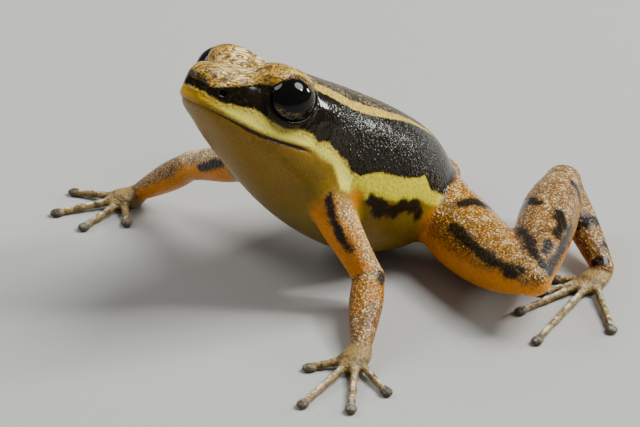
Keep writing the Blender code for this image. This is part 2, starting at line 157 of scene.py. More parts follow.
def ripple(points: np.ndarray, scale: float) -> np.ndarray:
    """Soft uneven relief from -1 to 1: the mean of six sines, each along its own slanted direction.

    Args:
        points: Points in any space, one a row.
        scale: Waves a mm along each direction.

    Returns:
        One value for each point.
    """
    turns = np.arange(1, 7) * 2.4
    lean = np.sin(np.arange(1, 7) * 1.7)
    ways = np.stack([np.cos(turns) * np.cos(lean), np.sin(turns) * np.cos(lean), np.sin(lean)])
    phase = points @ ways * (2.0 * math.pi * scale) * (1.0 + 0.13 * np.arange(6)) + turns * 3.0
    return np.sin(phase).mean(axis=1) * 1.8


def run_distance(points: np.ndarray, path: np.ndarray) -> tuple[np.ndarray, np.ndarray]:
    """Distance to a broken line: the least of the distances to its clamped straight parts.

    Args:
        points: Points in any space, one a row.
        path: Corners of the line in that space.

    Returns:
        Distance of each point, and its share of the way along the line.
    """
    best = np.full(len(points), 1e9)
    where = np.zeros(len(points))
    lengths = np.linalg.norm(np.diff(path, axis=0), axis=1)
    total = max(float(lengths.sum()), 1e-9)
    begun = 0.0
    for k, length in enumerate(lengths):
        run = path[k + 1] - path[k]
        t = np.clip(((points - path[k]) @ run) / max(length * length, 1e-12), 0.0, 1.0)
        away = np.linalg.norm(points - path[k] - t[:, None] * run, axis=1)
        closer = away < best
        best = np.where(closer, away, best)
        where = np.where(closer, (begun + t * length) / total, where)
        begun += length
    return best, where


def smooth_curve(knots: np.ndarray, steps: int) -> np.ndarray:
    """Catmull-Rom curve: each stretch is the cubic through two knots with half the chord as its slopes.

    Args:
        knots: Rows of values at equal steps.
        steps: Points worked out for each stretch.

    Returns:
        Rows of the filled-in curve.
    """
    padded = np.vstack([2 * knots[:1] - knots[1:2], knots, 2 * knots[-1:] - knots[-2:-1]])
    place = np.linspace(0.0, len(knots) - 1.0, (len(knots) - 1) * steps + 1)
    k = np.minimum(place.astype(int), len(knots) - 2)
    t = (place - k)[:, None]
    a, b, c, d = padded[k], padded[k + 1], padded[k + 2], padded[k + 3]
    square, cube = 2 * a - 5 * b + 4 * c - d, 3 * b - a - 3 * c + d
    return 0.5 * (2 * b + (c - a) * t + square * t ** 2 + cube * t ** 3)


def store(mesh: bpy.types.Mesh, values: dict[str, np.ndarray]) -> None:
    """Keeps each named array as an attribute, one number a vertex."""
    for name, numbers in values.items():
        layer = mesh.attributes.new(name, "FLOAT", "POINT")
        layer.data.foreach_set("value", numbers.astype(np.float32))


def add_object(name: str, data: bpy.types.ID) -> bpy.types.Object:
    """Puts a mesh, light or camera into the scene as an object of that name."""
    result = bpy.data.objects.new(name, data)
    bpy.context.scene.collection.objects.link(result)
    return result


def turned_to(right: np.ndarray, up: np.ndarray, back: np.ndarray, place: np.ndarray) -> Matrix:
    """Matrix of an object at a place in metres that looks away from its back, with its own right and up."""
    turn = np.eye(4)
    turn[:3] = np.stack([right, up, back, place], axis=1)
    return Matrix(turn)


@dataclass(frozen=True)
class Stance:
    """The body's own axes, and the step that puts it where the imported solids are."""
    pitch: float = BODY_PITCH
    roll: float = BODY_ROLL
    shift: tuple[float, float, float] = (0.0, 0.0, 0.0)

    @property
    def axes(self) -> np.ndarray:
        """Rows along (to the vent), left and up of the pitched and rolled body."""
        forward = np.array([0.0, -math.cos(self.pitch), math.sin(self.pitch)])
        level_left = np.array([1.0, 0.0, 0.0])
        level_up = np.cross(forward, level_left)
        left = level_left * math.cos(self.roll) + level_up * math.sin(self.roll)
        return np.array([-forward, left, np.cross(forward, left)])

    def point(self, along: float, side: float, up: float, half: Side = Side.LEFT) -> np.ndarray:
        """World place in mm of a point given along, to the side of and above the body line."""
        return SNOUT + np.array(self.shift) + np.array([along, half.value * side, up]) @ self.axes

    def direction(self, along: float, side: float, up: float, half: Side = Side.LEFT) -> np.ndarray:
        """World direction of a unit vector given in the body's own axes."""
        return unit(np.array([along, half.value * side, up]) @ self.axes)

    def to_body(self, points: np.ndarray) -> np.ndarray:
        """World points in mm turned into rows of along, side and up."""
        return (points - SNOUT - np.array(self.shift)) @ self.axes.T

    @staticmethod
    def from_frame() -> "Stance":
        """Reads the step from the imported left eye, whose centre is known in the body's axes."""
        low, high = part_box("left_eye")
        centre = (np.array(low) + np.array(high)) / 2.0 / MM
        return Stance(shift=tuple(centre - Stance().point(*EYE_PLACE)))


# Forms, each with a distance that is negative inside it

@dataclass(frozen=True)
class Ball:
    """An ellipsoid: the length of the point over its radii, less one, times the middle radius."""
    centre: np.ndarray
    axes: np.ndarray
    radii: tuple[float, float, float]

    def distance(self, points: np.ndarray) -> np.ndarray:
        """Distance in mm from each point to the surface, close to true near it."""
        local = (points - self.centre) @ self.axes.T
        scaled = np.linalg.norm(local / self.radii, axis=1)
        slope = np.linalg.norm(local / np.square(self.radii), axis=1)
        return scaled * (scaled - 1.0) / np.maximum(slope, 1e-6)

    def reach_box(self) -> tuple[np.ndarray, np.ndarray]:
        """Lowest and highest corner of a box round the form."""
        size = max(self.radii)
        return self.centre - size, self.centre + size


@dataclass(frozen=True)
class Bone:
    """A length of limb round a bowed line, whose radius follows a muscle profile."""
    start: np.ndarray
    end: np.ndarray
    profile: tuple[tuple[float, float], ...]
    flat: float = 1.0
    bend: tuple[float, float] = (0.0, 0.0)

    def frame(self) -> tuple[np.ndarray, np.ndarray, np.ndarray]:
        """Unit vectors along the bone, to its side and up from it."""
        along = unit(self.end - self.start)
        side = unit(np.cross(along, np.array([0.0, 0.0, 1.0])))
        return along, side, np.cross(side, along)

    def centre(self, share: np.ndarray) -> np.ndarray:
        """Points of the line at shares s of its length, bowed to the side and up by 4 s (1 - s)."""
        _, side, up = self.frame()
        part = np.asarray(share, dtype=float)[..., None]
        bow = side * self.bend[0] + up * self.bend[1]
        return self.start + part * (self.end - self.start) + bow * (4.0 * part * (1.0 - part))

    def place(self, points: np.ndarray) -> tuple[np.ndarray, np.ndarray, np.ndarray]:
        """Share of the way along, and the offsets to the side and up, of each point.

        Args:
            points: World points in mm.

        Returns:
            The shares, and the two offsets in mm.
        """
        along, side, up = self.frame()
        length = float(np.linalg.norm(self.end - self.start))
        share = np.clip((points - self.start) @ along / length, 0.0, 1.0)
        away = points - self.centre(share)
        return share, away @ side, away @ up

    def radius(self, share: np.ndarray) -> np.ndarray:
        """Radius of the limb at each share of its length."""
        knots = smooth_curve(np.array(self.profile), 8)
        return np.interp(share, knots[:, 0], knots[:, 1])

    def distance(self, points: np.ndarray) -> np.ndarray:
        """Distance from the line, stretched where the limb is flat, less the radius there."""
        share, side, up = self.place(points)
        along, _, _ = self.frame()
        beyond = (points - self.centre(share)) @ along
        return np.sqrt(side ** 2 + (up / self.flat) ** 2 + beyond ** 2) - self.radius(share)

    def surface_point(self, share: float, turn: float) -> np.ndarray:
        """Point of the surface at a share of the length; turn 0 is the side, 90 the top, in degrees.

        Args:
            share: Share of the bone's length.
            turn: Turn about the bone.

        Returns:
            The world point in mm.
        """
        _, side, up = self.frame()
        angle = math.radians(turn)
        radius = float(self.radius(np.array([share]))[0])
        offset = side * math.cos(angle) + up * (math.sin(angle) * self.flat)
        return self.centre(np.array(share)) + offset * radius

    def stroke(self, ends: np.ndarray, half: Side) -> np.ndarray:
        """Five points of the surface, evenly from one share and turn to another; the right side mirrors.

        Args:
            ends: First share and turn, then last share and turn.
            half: The side of the limb.

        Returns:
            Rows of world points in mm.
        """
        places = np.linspace(ends[:2], ends[2:], 5)
        if half is Side.RIGHT:
            places[:, 1] = 180.0 - places[:, 1]
        return np.array([self.surface_point(share, turn) for share, turn in places])

    def reach_box(self) -> tuple[np.ndarray, np.ndarray]:
        """Lowest and highest corner of a box round the form."""
        size = max(radius for _, radius in self.profile) + math.hypot(*self.bend)
        return np.minimum(self.start, self.end) - size, np.maximum(self.start, self.end) + size


@dataclass(frozen=True)
class Digit:
    """A finger or toe: a thin run of cones with knuckles, and a flattened disc at its end."""
    start: np.ndarray
    tip: np.ndarray
    radius: float
    disc: tuple[float, float, float]

    def path(self) -> np.ndarray:
        """Rows of centre and radius along the digit, a smooth curve through five knots."""
        share = np.array([0.0, 0.25, 0.5, 0.75, 1.0])[:, None]
        line = self.start + share * (self.tip - self.start)
        line[:, 2] = (1.0 - share[:, 0]) ** 2 * self.start[2] + (1.0 - (1.0 - share[:, 0]) ** 2) * self.tip[2]
        line[1:4, 2] = np.minimum(line[1:4, 2] + 0.05, DIGIT_HEIGHT + 0.30)
        radii = self.radius * np.array([1.30, 1.08, 1.00, 0.94, 0.86])[:, None]
        return smooth_curve(np.hstack([line, radii]), 4)

    def distance(self, points: np.ndarray) -> np.ndarray:
        """Least distance to the cones and knuckles, merged with the distance to the disc.

        Args:
            points: World points in mm.

        Returns:
            One distance for each point.
        """
        path = self.path()
        away, share = run_distance(points, path[:, :3])
        knuckles = 0.035 * sum(np.exp(-((share - place) / 0.05) ** 2) for place in (0.36, 0.62, 0.84))
        radius = np.interp(share, np.linspace(0.0, 1.0, len(path)), path[:, 3]) + knuckles
        level = unit(np.append((self.tip - self.start)[:2], 0.0))
        across = np.array([-level[1], level[0], 0.0])
        pad = Ball(self.tip, np.array([level, across, (0.0, 0.0, 1.0)]), self.disc)
        return merge(away - radius, pad.distance(points), 0.16)

    def reach_box(self) -> tuple[np.ndarray, np.ndarray]:
        """Lowest and highest corner of a box round the form."""
        return np.minimum(self.start, self.tip) - 0.6, np.maximum(self.start, self.tip) + 0.6


@dataclass(frozen=True)
class Trunk:
    """Head and body: squared ellipses above and below the mouth's level, one at each distance along."""
    stance: Stance
    step: float = 0.02

    def table(self) -> np.ndarray:
        """Rows of section values every step along, by cubics with the mean slope at each section."""
        along, values = SECTIONS[:, 0], SECTIONS[:, 1:]
        slope = np.zeros_like(values)
        slope[1:-1] = (values[2:] - values[:-2]) / (along[2:] - along[:-2])[:, None]
        slope[0] = 3.0 * (values[1] - values[0]) / (along[1] - along[0]) - 2.0 * slope[1]
        slope[-1] = 3.0 * (values[-1] - values[-2]) / (along[-1] - along[-2]) - 2.0 * slope[-2]
        dense = np.append(np.arange(along[0], along[-1], self.step), along[-1])
        k = np.clip(np.searchsorted(along, dense, side="right") - 1, 0, len(along) - 2)
        width = (along[k + 1] - along[k])[:, None]
        t = (dense - along[k])[:, None] / width
        result = (values[k] * (2 * t ** 3 - 3 * t ** 2 + 1) + values[k + 1] * (3 * t ** 2 - 2 * t ** 3)
                  + slope[k] * width * (t ** 3 - 2 * t ** 2 + t) + slope[k + 1] * width * (t ** 3 - t ** 2))
        return np.hstack([dense[:, None], result])

    def distance(self, points: np.ndarray) -> np.ndarray:
        """Radial distance to the section's curve, which is r less r over its squared-ellipse norm.

        Args:
            points: World points in mm.

        Returns:
            One distance for each point.
        """
        table = TRUNK_TABLE
        along, side, up = self.stance.to_body(points).T
        inside = np.clip(along, table[0, 0], table[-1, 0])
        columns = (np.interp(inside, table[:, 0], column) for column in table.T[1:])
        width, top, bottom, mouth, above, below = columns
        rise = up - mouth
        width = np.maximum(width, 0.02)
        height = np.maximum(np.where(rise >= 0.0, top - mouth, mouth - bottom), 0.02)
        power = np.where(rise >= 0.0, above, below)
        norm = ((np.abs(side) / width) ** power + (np.abs(rise) / height) ** power) ** (1.0 / power)
        radial = np.maximum(np.hypot(side, rise), 1e-4)
        out = radial - radial / np.maximum(norm, 1e-3)
        return np.hypot(np.maximum(out, 0.0), along - inside) + np.minimum(out, 0.0)


@dataclass
class Foot:
    """A hand or foot: a pad of flesh and its digits, flat on the floor."""
    root: np.ndarray
    heading: float
    pad: tuple[float, float, float]
    digits: tuple[tuple[float, float], ...]
    radius: float

    def build(self) -> tuple[Ball, list[Digit]]:
        """Places the pad ahead of the root and spreads the digits from its front.

        Returns:
            The pad, and the digits in order.
        """
        forward, across = compass(self.heading), compass(self.heading + 90.0)
        centre = self.root + forward * (self.pad[0] * 0.6)
        centre[2] = self.pad[2] * 0.8
        pad = Ball(centre, np.array([forward, across, (0.0, 0.0, 1.0)]), tuple(np.array(self.pad) * 0.96))
        digits = []
        for heading, length in self.digits:
            tip = self.root + compass(heading) * length
            tip[2] = DIGIT_HEIGHT
            slant = math.sin(math.radians(heading - self.heading))
            start = centre + across * (self.pad[1] * 0.7 * slant) + forward * (self.pad[0] * 0.25)
            digits.append(Digit(start, tip, self.radius, (0.40, 0.34, 0.21)))
        return pad, digits


@dataclass
class Arm:
    """One arm: upper arm, forearm and hand, from the shoulder's place and the headings of its bones."""
    half: Side
    shoulder: tuple[float, float, float]
    elbow: tuple[float, float]
    wrist: tuple[float, float]
    palm_heading: float
    fingers: tuple[tuple[float, float], ...]
    bones: dict[str, Bone] = field(default_factory=dict)
    foot: Foot | None = None

    def build(self, stance: Stance) -> None:
        """Works out the bones and the hand.

        Args:
            stance: The body's axes and place.
        """
        shoulder = stance.point(*self.shoulder, self.half)
        elbow = reach(shoulder, UPPER_ARM, *self.elbow)
        wrist = reach(elbow, FOREARM, *self.wrist)
        self.bones = {
            "upper": Bone(shoulder, elbow, ((0.0, 1.15), (0.35, 1.15), (0.7, 0.98), (1.0, 0.88)), 0.95),
            "lower": Bone(elbow, wrist, ((0.0, 0.88), (0.35, 0.95), (0.7, 0.78), (1.0, 0.56)), 0.92)}
        self.foot = Foot(wrist, self.palm_heading, (1.30, 0.85, 0.60), self.fingers, 0.20)


@dataclass
class Leg:
    """One leg: thigh, shank, tarsus and foot, from the hip's place and the headings of its bones."""
    half: Side
    hip: tuple[float, float, float]
    knee: tuple[float, float]
    heel: tuple[float, float]
    sole_heading: float
    toe_heading: float
    thigh_bend: tuple[float, float]
    shank_bend: tuple[float, float]
    toes: tuple[tuple[float, float], ...]
    bones: dict[str, Bone] = field(default_factory=dict)
    foot: Foot | None = None

    def build(self, stance: Stance) -> None:
        """Works out the bones and the foot.

        Args:
            stance: The body's axes and place.
        """
        hip = stance.point(*self.hip, self.half)
        knee = reach(hip, THIGH, *self.knee)
        heel = reach(knee, SHANK, *self.heel)
        ankle = reach(heel, TARSUS, self.sole_heading, ANKLE_HEIGHT)
        self.bones = {
            "thigh": Bone(hip, knee, ((0.0, 2.03), (0.3, 2.18), (0.65, 1.83), (1.0, 1.04)), 0.92,
                          self.thigh_bend),
            "shank": Bone(knee, heel, ((0.0, 1.02), (0.35, 1.58), (0.7, 1.65), (1.0, 1.10)), 0.95,
                          self.shank_bend),
            "tarsus": Bone(heel, ankle, ((0.0, 0.94), (0.35, 0.98), (0.7, 0.85), (1.0, 0.64)), 0.95)}
        self.foot = Foot(ankle, self.toe_heading, (1.60, 0.80, 0.52), self.toes, 0.185)


LEFT_ARM = Arm(Side.LEFT, (9.9, 3.1, -2.9), (129.5, 2.05), (45.0, 0.72), 26.0,
               ((-15.0, 3.1), (18.0, 5.9), (44.0, 5.5), (70.0, 3.9)))
RIGHT_ARM = Arm(Side.RIGHT, (9.9, 3.1, -2.9), (-91.0, 4.1), (-82.0, 0.72), -15.0,
                ((38.0, 2.8), (8.0, 4.5), (-20.0, 5.0), (-52.0, 3.9)))
LEFT_LEG = Leg(Side.LEFT, (20.4, 2.2, -1.4), (77.0, 3.35), (-141.7, 3.3), 71.6, 16.0,
               (0.0, -0.70), (-0.20, 0.0),
               ((-30.0, 2.7), (-11.0, 3.9), (0.0, 6.3), (20.5, 8.3), (51.0, 5.9)))
RIGHT_LEG = Leg(Side.RIGHT, (20.4, 2.2, -1.4), (-100.5, 2.75), (100.0, 1.7), -106.0, -12.0,
                (0.0, -0.08), (0.20, 0.0),
                ((32.0, 2.7), (16.0, 3.9), (3.0, 6.3), (-16.0, 8.3), (-44.0, 5.9)))
TRUNK_TABLE = Trunk(Stance()).table()


@dataclass
class Flesh:
    """All the flesh as one distance field, so that every joint is a smooth fillet and no seam shows."""
    stance: Stance
    trunk: Trunk
    arms: list[Arm]
    legs: list[Leg]
    mouth_line: tuple[tuple[float, float], ...] = (
        (0.3, -0.62), (0.7, -0.6), (1.06, -0.6), (2.06, -0.77), (2.83, -0.88), (3.35, -0.97), (4.18, -1.04),
        (5.03, -1.02), (5.98, -0.96), (6.76, -0.93), (7.85, -1.13))
    groove_depth: float = 0.085
    groove_width: float = 0.085
    lip_swell: float = 0.045
    lid_opening: float = math.radians(81.0)
    lid_thickness: float = 0.13
    brow_blend: float = 0.75
    nostril_radius: float = 0.17
    nostril_swell: float = 0.055
    ear_place: tuple[float, float] = (7.55, 0.35)
    ear_radius: float = 0.62
    arm_blends: tuple[float, float] = (0.80, 0.16)
    leg_blends: tuple[float, float] = (0.60, 0.07)
    part_blend: float = 0.25
    floor_blend: float = 0.05

    def eye_axes(self, half: Side) -> tuple[np.ndarray, np.ndarray]:
        """Centre of one side's eyeball in mm, and the unit vector along which it looks."""
        return self.stance.point(*EYE_PLACE, half), self.stance.direction(*EYE_LOOK, half)

    def mouth_height(self, along: np.ndarray) -> np.ndarray:
        """Height of the line of the mouth at each distance along the body."""
        return np.interp(along, *np.array(self.mouth_line).T)

    def near(self, form: Ball | Bone | Digit, points: np.ndarray, margin: float) -> np.ndarray:
        """Distances to a form, worked out only within a margin of its box and large elsewhere.

        Args:
            form: The form.
            points: World points in mm.
            margin: How far outside the box distances still matter.

        Returns:
            One distance for each point.
        """
        low, high = form.reach_box()
        close = np.all((points > low - margin) & (points < high + margin), axis=1)
        result = np.full(len(points), FAR)
        if close.any():
            result[close] = form.distance(points[close])
        return result

    def face(self, points: np.ndarray, skin: np.ndarray) -> np.ndarray:
        """Adds brows, lids, eye hollows, nostrils, lips, the line of the mouth and the ear's disc.

        The lids are a ring of round section about the circle where the eye opens; the groove and the
        lips are bell curves of the height above the line of the mouth.

        Args:
            points: World points in mm.
            skin: Distances to the trunk.

        Returns:
            Distances to the trunk with its face.
        """
        body = self.stance.to_body(points)
        close = body[:, 0] < 11.0
        local, result = points[close], skin[close]
        along, side, up = body[close].T
        for half in Side:
            place = self.stance.point(*BROW_PLACE, half)
            result = merge(result, Ball(place, self.stance.axes, BROW_RADII).distance(local), self.brow_blend)
        height = up - self.mouth_height(along)
        fade = smooth_step(7.4, 6.5, along)
        groove = self.groove_depth * np.exp(-(height / self.groove_width) ** 2)
        upper = self.lip_swell * np.exp(-((height - 0.26) / 0.16) ** 2)
        lower = 0.25 * self.lip_swell * np.exp(-((height + 0.22) / 0.15) ** 2)
        result = result + (groove - upper - lower) * fade
        for half in Side:
            centre, axis = self.eye_axes(half)
            toward = (local - centre) @ axis
            away = np.linalg.norm(local - centre, axis=1)
            across = np.sqrt(np.maximum(away ** 2 - toward ** 2, 0.0))
            seat = EYE_RADIUS + 0.06
            lid_out, lid_ahead = seat * math.sin(self.lid_opening), seat * math.cos(self.lid_opening)
            rim = np.hypot(across - lid_out, toward - lid_ahead)
            tilt = (local - centre) @ self.stance.axes[2] / np.maximum(away, 1e-6)
            thickness = self.lid_thickness + 0.03 * np.clip(tilt, -1.0, 1.0)
            cup = np.maximum(away - seat - 0.10, toward - lid_ahead)
            result = merge(result, cup, 0.30)
            furrow = 0.03 * np.exp(-((away - seat - 0.36) / 0.07) ** 2) * smooth_step(0.9, 0.2, toward)
            result = merge(result + furrow, rim - thickness, 0.12)
            result = carve(result, away - EYE_RADIUS + 0.14, 0.10)
            pit = self.stance.point(*NOSTRIL_PLACE, half) - self.stance.axes[0] * 0.02
            aside = np.linalg.norm((local - pit) @ self.stance.axes.T / (1.25, 1.0, 0.9), axis=1)
            swell = self.nostril_swell * np.exp(-((aside - 0.33) / 0.14) ** 2)
            result = result - swell * (np.abs(result) < 0.6)
            result = carve(result, aside - self.nostril_radius, 0.08)
            ear = np.hypot(along - self.ear_place[0], up - self.ear_place[1])
            dish = 0.012 * smooth_step(self.ear_radius, 0.3, ear)
            ring = 0.016 * np.exp(-((ear - self.ear_radius) / 0.10) ** 2) - dish
            result = result - np.where(side * half.value > 2.0, ring, 0.0)
        crown = smooth_step(0.6, 1.6, up) * smooth_step(9.0, 6.0, along) * (np.abs(result) < 0.5)
        result = result + 0.035 * crown * ripple(body[close] * (0.6, 1.0, 1.0), 0.75)
        whole = skin.copy()
        whole[close] = result
        return whole

    def limb(self, points: np.ndarray, limb: Arm | Leg) -> list[np.ndarray]:
        """Distances to the parts of a limb: each bone from the body outwards, then the hand or foot.

        Args:
            points: World points in mm.
            limb: The arm or leg.

        Returns:
            Arrays of distances, the last one with the digits merged to the pad.
        """
        result = [self.near(bone, points, 1.6) for bone in limb.bones.values()]
        pad, digits = limb.foot.build()
        foot = self.near(pad, points, 1.2)
        for digit in digits:
            foot = merge(foot, self.near(digit, points, 0.9), 0.28)
        return result + [foot]

    def distance(self, points: np.ndarray) -> np.ndarray:
        """Distance to the whole frog: trunk and face, merged limb by limb, kept above the floor.

        Args:
            points: World points in mm.

        Returns:
            Distances in mm, negative inside the flesh.
        """
        skin = self.face(points, self.near_trunk(points))
        for limbs, (root_blend, bend_blend) in ((self.arms, self.arm_blends), (self.legs, self.leg_blends)):
            for limb in limbs:
                parts = self.limb(points, limb)
                whole = merge(parts[0], parts[1], bend_blend)
                for part in parts[2:]:
                    whole = merge(whole, part, self.part_blend)
                skin = np.minimum(merge(skin, parts[0], root_blend), whole)
        return -merge(-skin, points[:, 2], self.floor_blend)

    def near_trunk(self, points: np.ndarray) -> np.ndarray:
        """Distances to the trunk, worked out only for points less than 9 mm from its line.

        Args:
            points: World points in mm.

        Returns:
            One distance for each point, FAR away from the trunk.
        """
        body = self.stance.to_body(points)
        close = np.all((body > (-2.0, -7.0, -8.5)) & (body < (26.0, 7.0, 6.5)), axis=1)
        result = np.full(len(points), FAR)
        result[close] = self.trunk.distance(points[close])
        return result

    def gradient(self, points: np.ndarray, step: float = 0.02) -> tuple[np.ndarray, np.ndarray]:
        """Distances, and their slopes from the differences half a step to either side on each axis.

        Args:
            points: World points in mm.
            step: Width of the difference, mm.

        Returns:
            Distances and rows of slopes.
        """
        slopes = np.empty_like(points)
        for k in range(3):
            offset = np.zeros(3)
            offset[k] = step / 2.0
            slopes[:, k] = (self.distance(points + offset) - self.distance(points - offset)) / step
        return self.distance(points), slopes


@dataclass
class Net:
    """A mesh held as arrays: vertices in mm and faces of four corners."""
    vertices: np.ndarray
    quads: np.ndarray

    @staticmethod
    def from_field(flesh: Flesh, low: np.ndarray, high: np.ndarray, cell: float) -> "Net":
        """Surface net: one vertex for each cell that the surface crosses, at the mean of the crossings.

        Each crossed edge of the grid joins the vertices of the four cells round it with one face,
        turned so that it looks from inside to outside.

        Args:
            flesh: The field whose zero level is the skin.
            low: Lowest corner of the grid, mm.
            high: Highest corner, mm.
            cell: Side of a cell, mm.

        Returns:
            The closed net.
        """
        axes = [np.arange(low[k], high[k] + cell, cell) for k in range(3)]
        shape = tuple(len(axis) for axis in axes)
        values = np.empty(shape)
        for i, x in enumerate(axes[0]):
            layer = np.stack(np.meshgrid([x], axes[1], axes[2], indexing="ij"), axis=-1).reshape(-1, 3)
            values[i] = flesh.distance(layer).reshape(shape[1:])
        inside = values < 0.0
        cells = tuple(count - 1 for count in shape)
        total = np.zeros(cells + (3,))
        count = np.zeros(cells)
        crossings = []
        for axis in range(3):
            lower = tuple(slice(0, -1) if k == axis else slice(None) for k in range(3))
            upper = tuple(slice(1, None) if k == axis else slice(None) for k in range(3))
            crossed = inside[lower] != inside[upper]
            index = np.argwhere(crossed)
            first, second = values[lower][crossed], values[upper][crossed]
            place = index.astype(float)
            place[:, axis] += first / (first - second)
            others = [k for k in range(3) if k != axis]
            around = []
            for a in (0, 1):
                for b in (0, 1):
                    near = index.copy()
                    near[:, others[0]] -= a
                    near[:, others[1]] -= b
                    around.append(near)
                    np.add.at(total, tuple(near.T), place)
                    np.add.at(count, tuple(near.T), 1.0)
            crossings.append((axis, inside[lower][crossed], around))
        number = -np.ones(cells, dtype=int)
        used = count > 0
        number[used] = np.arange(int(used.sum()))
        vertices = total[used] / count[used][:, None] * cell + low
        quads = []
        for axis, begins_inside, around in crossings:
            corner = [number[tuple(near.T)] for near in (around[0], around[1], around[3], around[2])]
            face = np.stack(corner, axis=1)
            turned = ~begins_inside if axis == 1 else begins_inside
            face[turned] = face[turned][:, ::-1]
            quads.append(face)
        return Net(vertices, np.concatenate(quads))

    def relaxed(self, flesh: Flesh, edges: np.ndarray, rounds: int, pull: float) -> np.ndarray:
        """Evens the net: each vertex moves to its neighbours' mean, then along the slope to the surface.

        Args:
            flesh: The field.
            edges: Rows of two vertex numbers.
            rounds: How many times.
            pull: Share of the way to the mean.

        Returns:
            The new vertices.
        """
        points = self.vertices.copy()
        degree = np.bincount(edges.ravel(), minlength=len(points)).astype(float)
        for _ in range(rounds):
            mean = np.stack([np.bincount(edges[:, 0], points[edges[:, 1], k], len(points))
                             + np.bincount(edges[:, 1], points[edges[:, 0], k], len(points))
                             for k in range(3)], axis=1) / degree[:, None]
            value, slope = flesh.gradient(points)
            steep = np.maximum(np.linalg.norm(slope, axis=1), 0.4)
            normal = slope / steep[:, None]
            step = (mean - points) * pull
            step -= normal * np.sum(step * normal, axis=1)[:, None]
            points = points + step - normal * np.clip(value / steep, -0.12, 0.12)[:, None]
        return points


# Dark strokes on each bone: share of its length and turn about it at both ends, and half the width in mm.
LIMB_MARKS = {
    "upper": ((0.00, 33.0, 0.12, 20.0, 0.22), (0.12, 20.0, 0.32, 12.0, 0.24),
        (0.32, 12.0, 0.58, 8.0, 0.20)),
    "lower": ((0.05, 143.0, 0.16, 143.0, 0.20),),
    "thigh": ((0.298, 86.0, 0.312, 128.0, 0.38), (0.415, 46.0, 0.585, 43.0, 0.28),
        (0.585, 43.0, 0.79, 38.5, 0.27), (0.79, 38.5, 0.97, 37.5, 0.18), (0.96, 52.0, 1.0, 44.0, 0.20),
        (0.90, 22.0, 0.98, 24.0, 0.14)),
    "shank": ((0.52, 150.0, 0.58, 136.0, 0.30), (0.57, 124.0, 0.515, 108.0, 0.24),
        (0.348, 145.0, 0.217, 119.0, 0.24), (0.217, 119.0, 0.045, 83.0, 0.26),
        (0.47, 58.0, 0.41, 48.0, 0.38), (0.41, 44.0, 0.284, 50.0, 0.32), (0.46, 19.0, 0.206, 24.0, 0.28),
        (0.206, 24.0, 0.0, 34.0, 0.30), (0.19, 62.0, 0.11, 65.0, 0.27), (0.025, 69.0, 0.0, 60.0, 0.26),
        (0.849, 48.0, 0.77, 18.0, 0.26)),
    "tarsus": ((0.56, 50.0, 0.56, 122.0, 0.34), (0.82, 125.0, 0.87, 150.0, 0.20),
        (0.99, 32.0, 1.0, 85.0, 0.22))}


@dataclass(frozen=True)
class Blotch:
    """A dark oval on the side of the body: its place along and up, and its two half sizes, mm."""
    along: float
    up: float
    long_radius: float
    short_radius: float


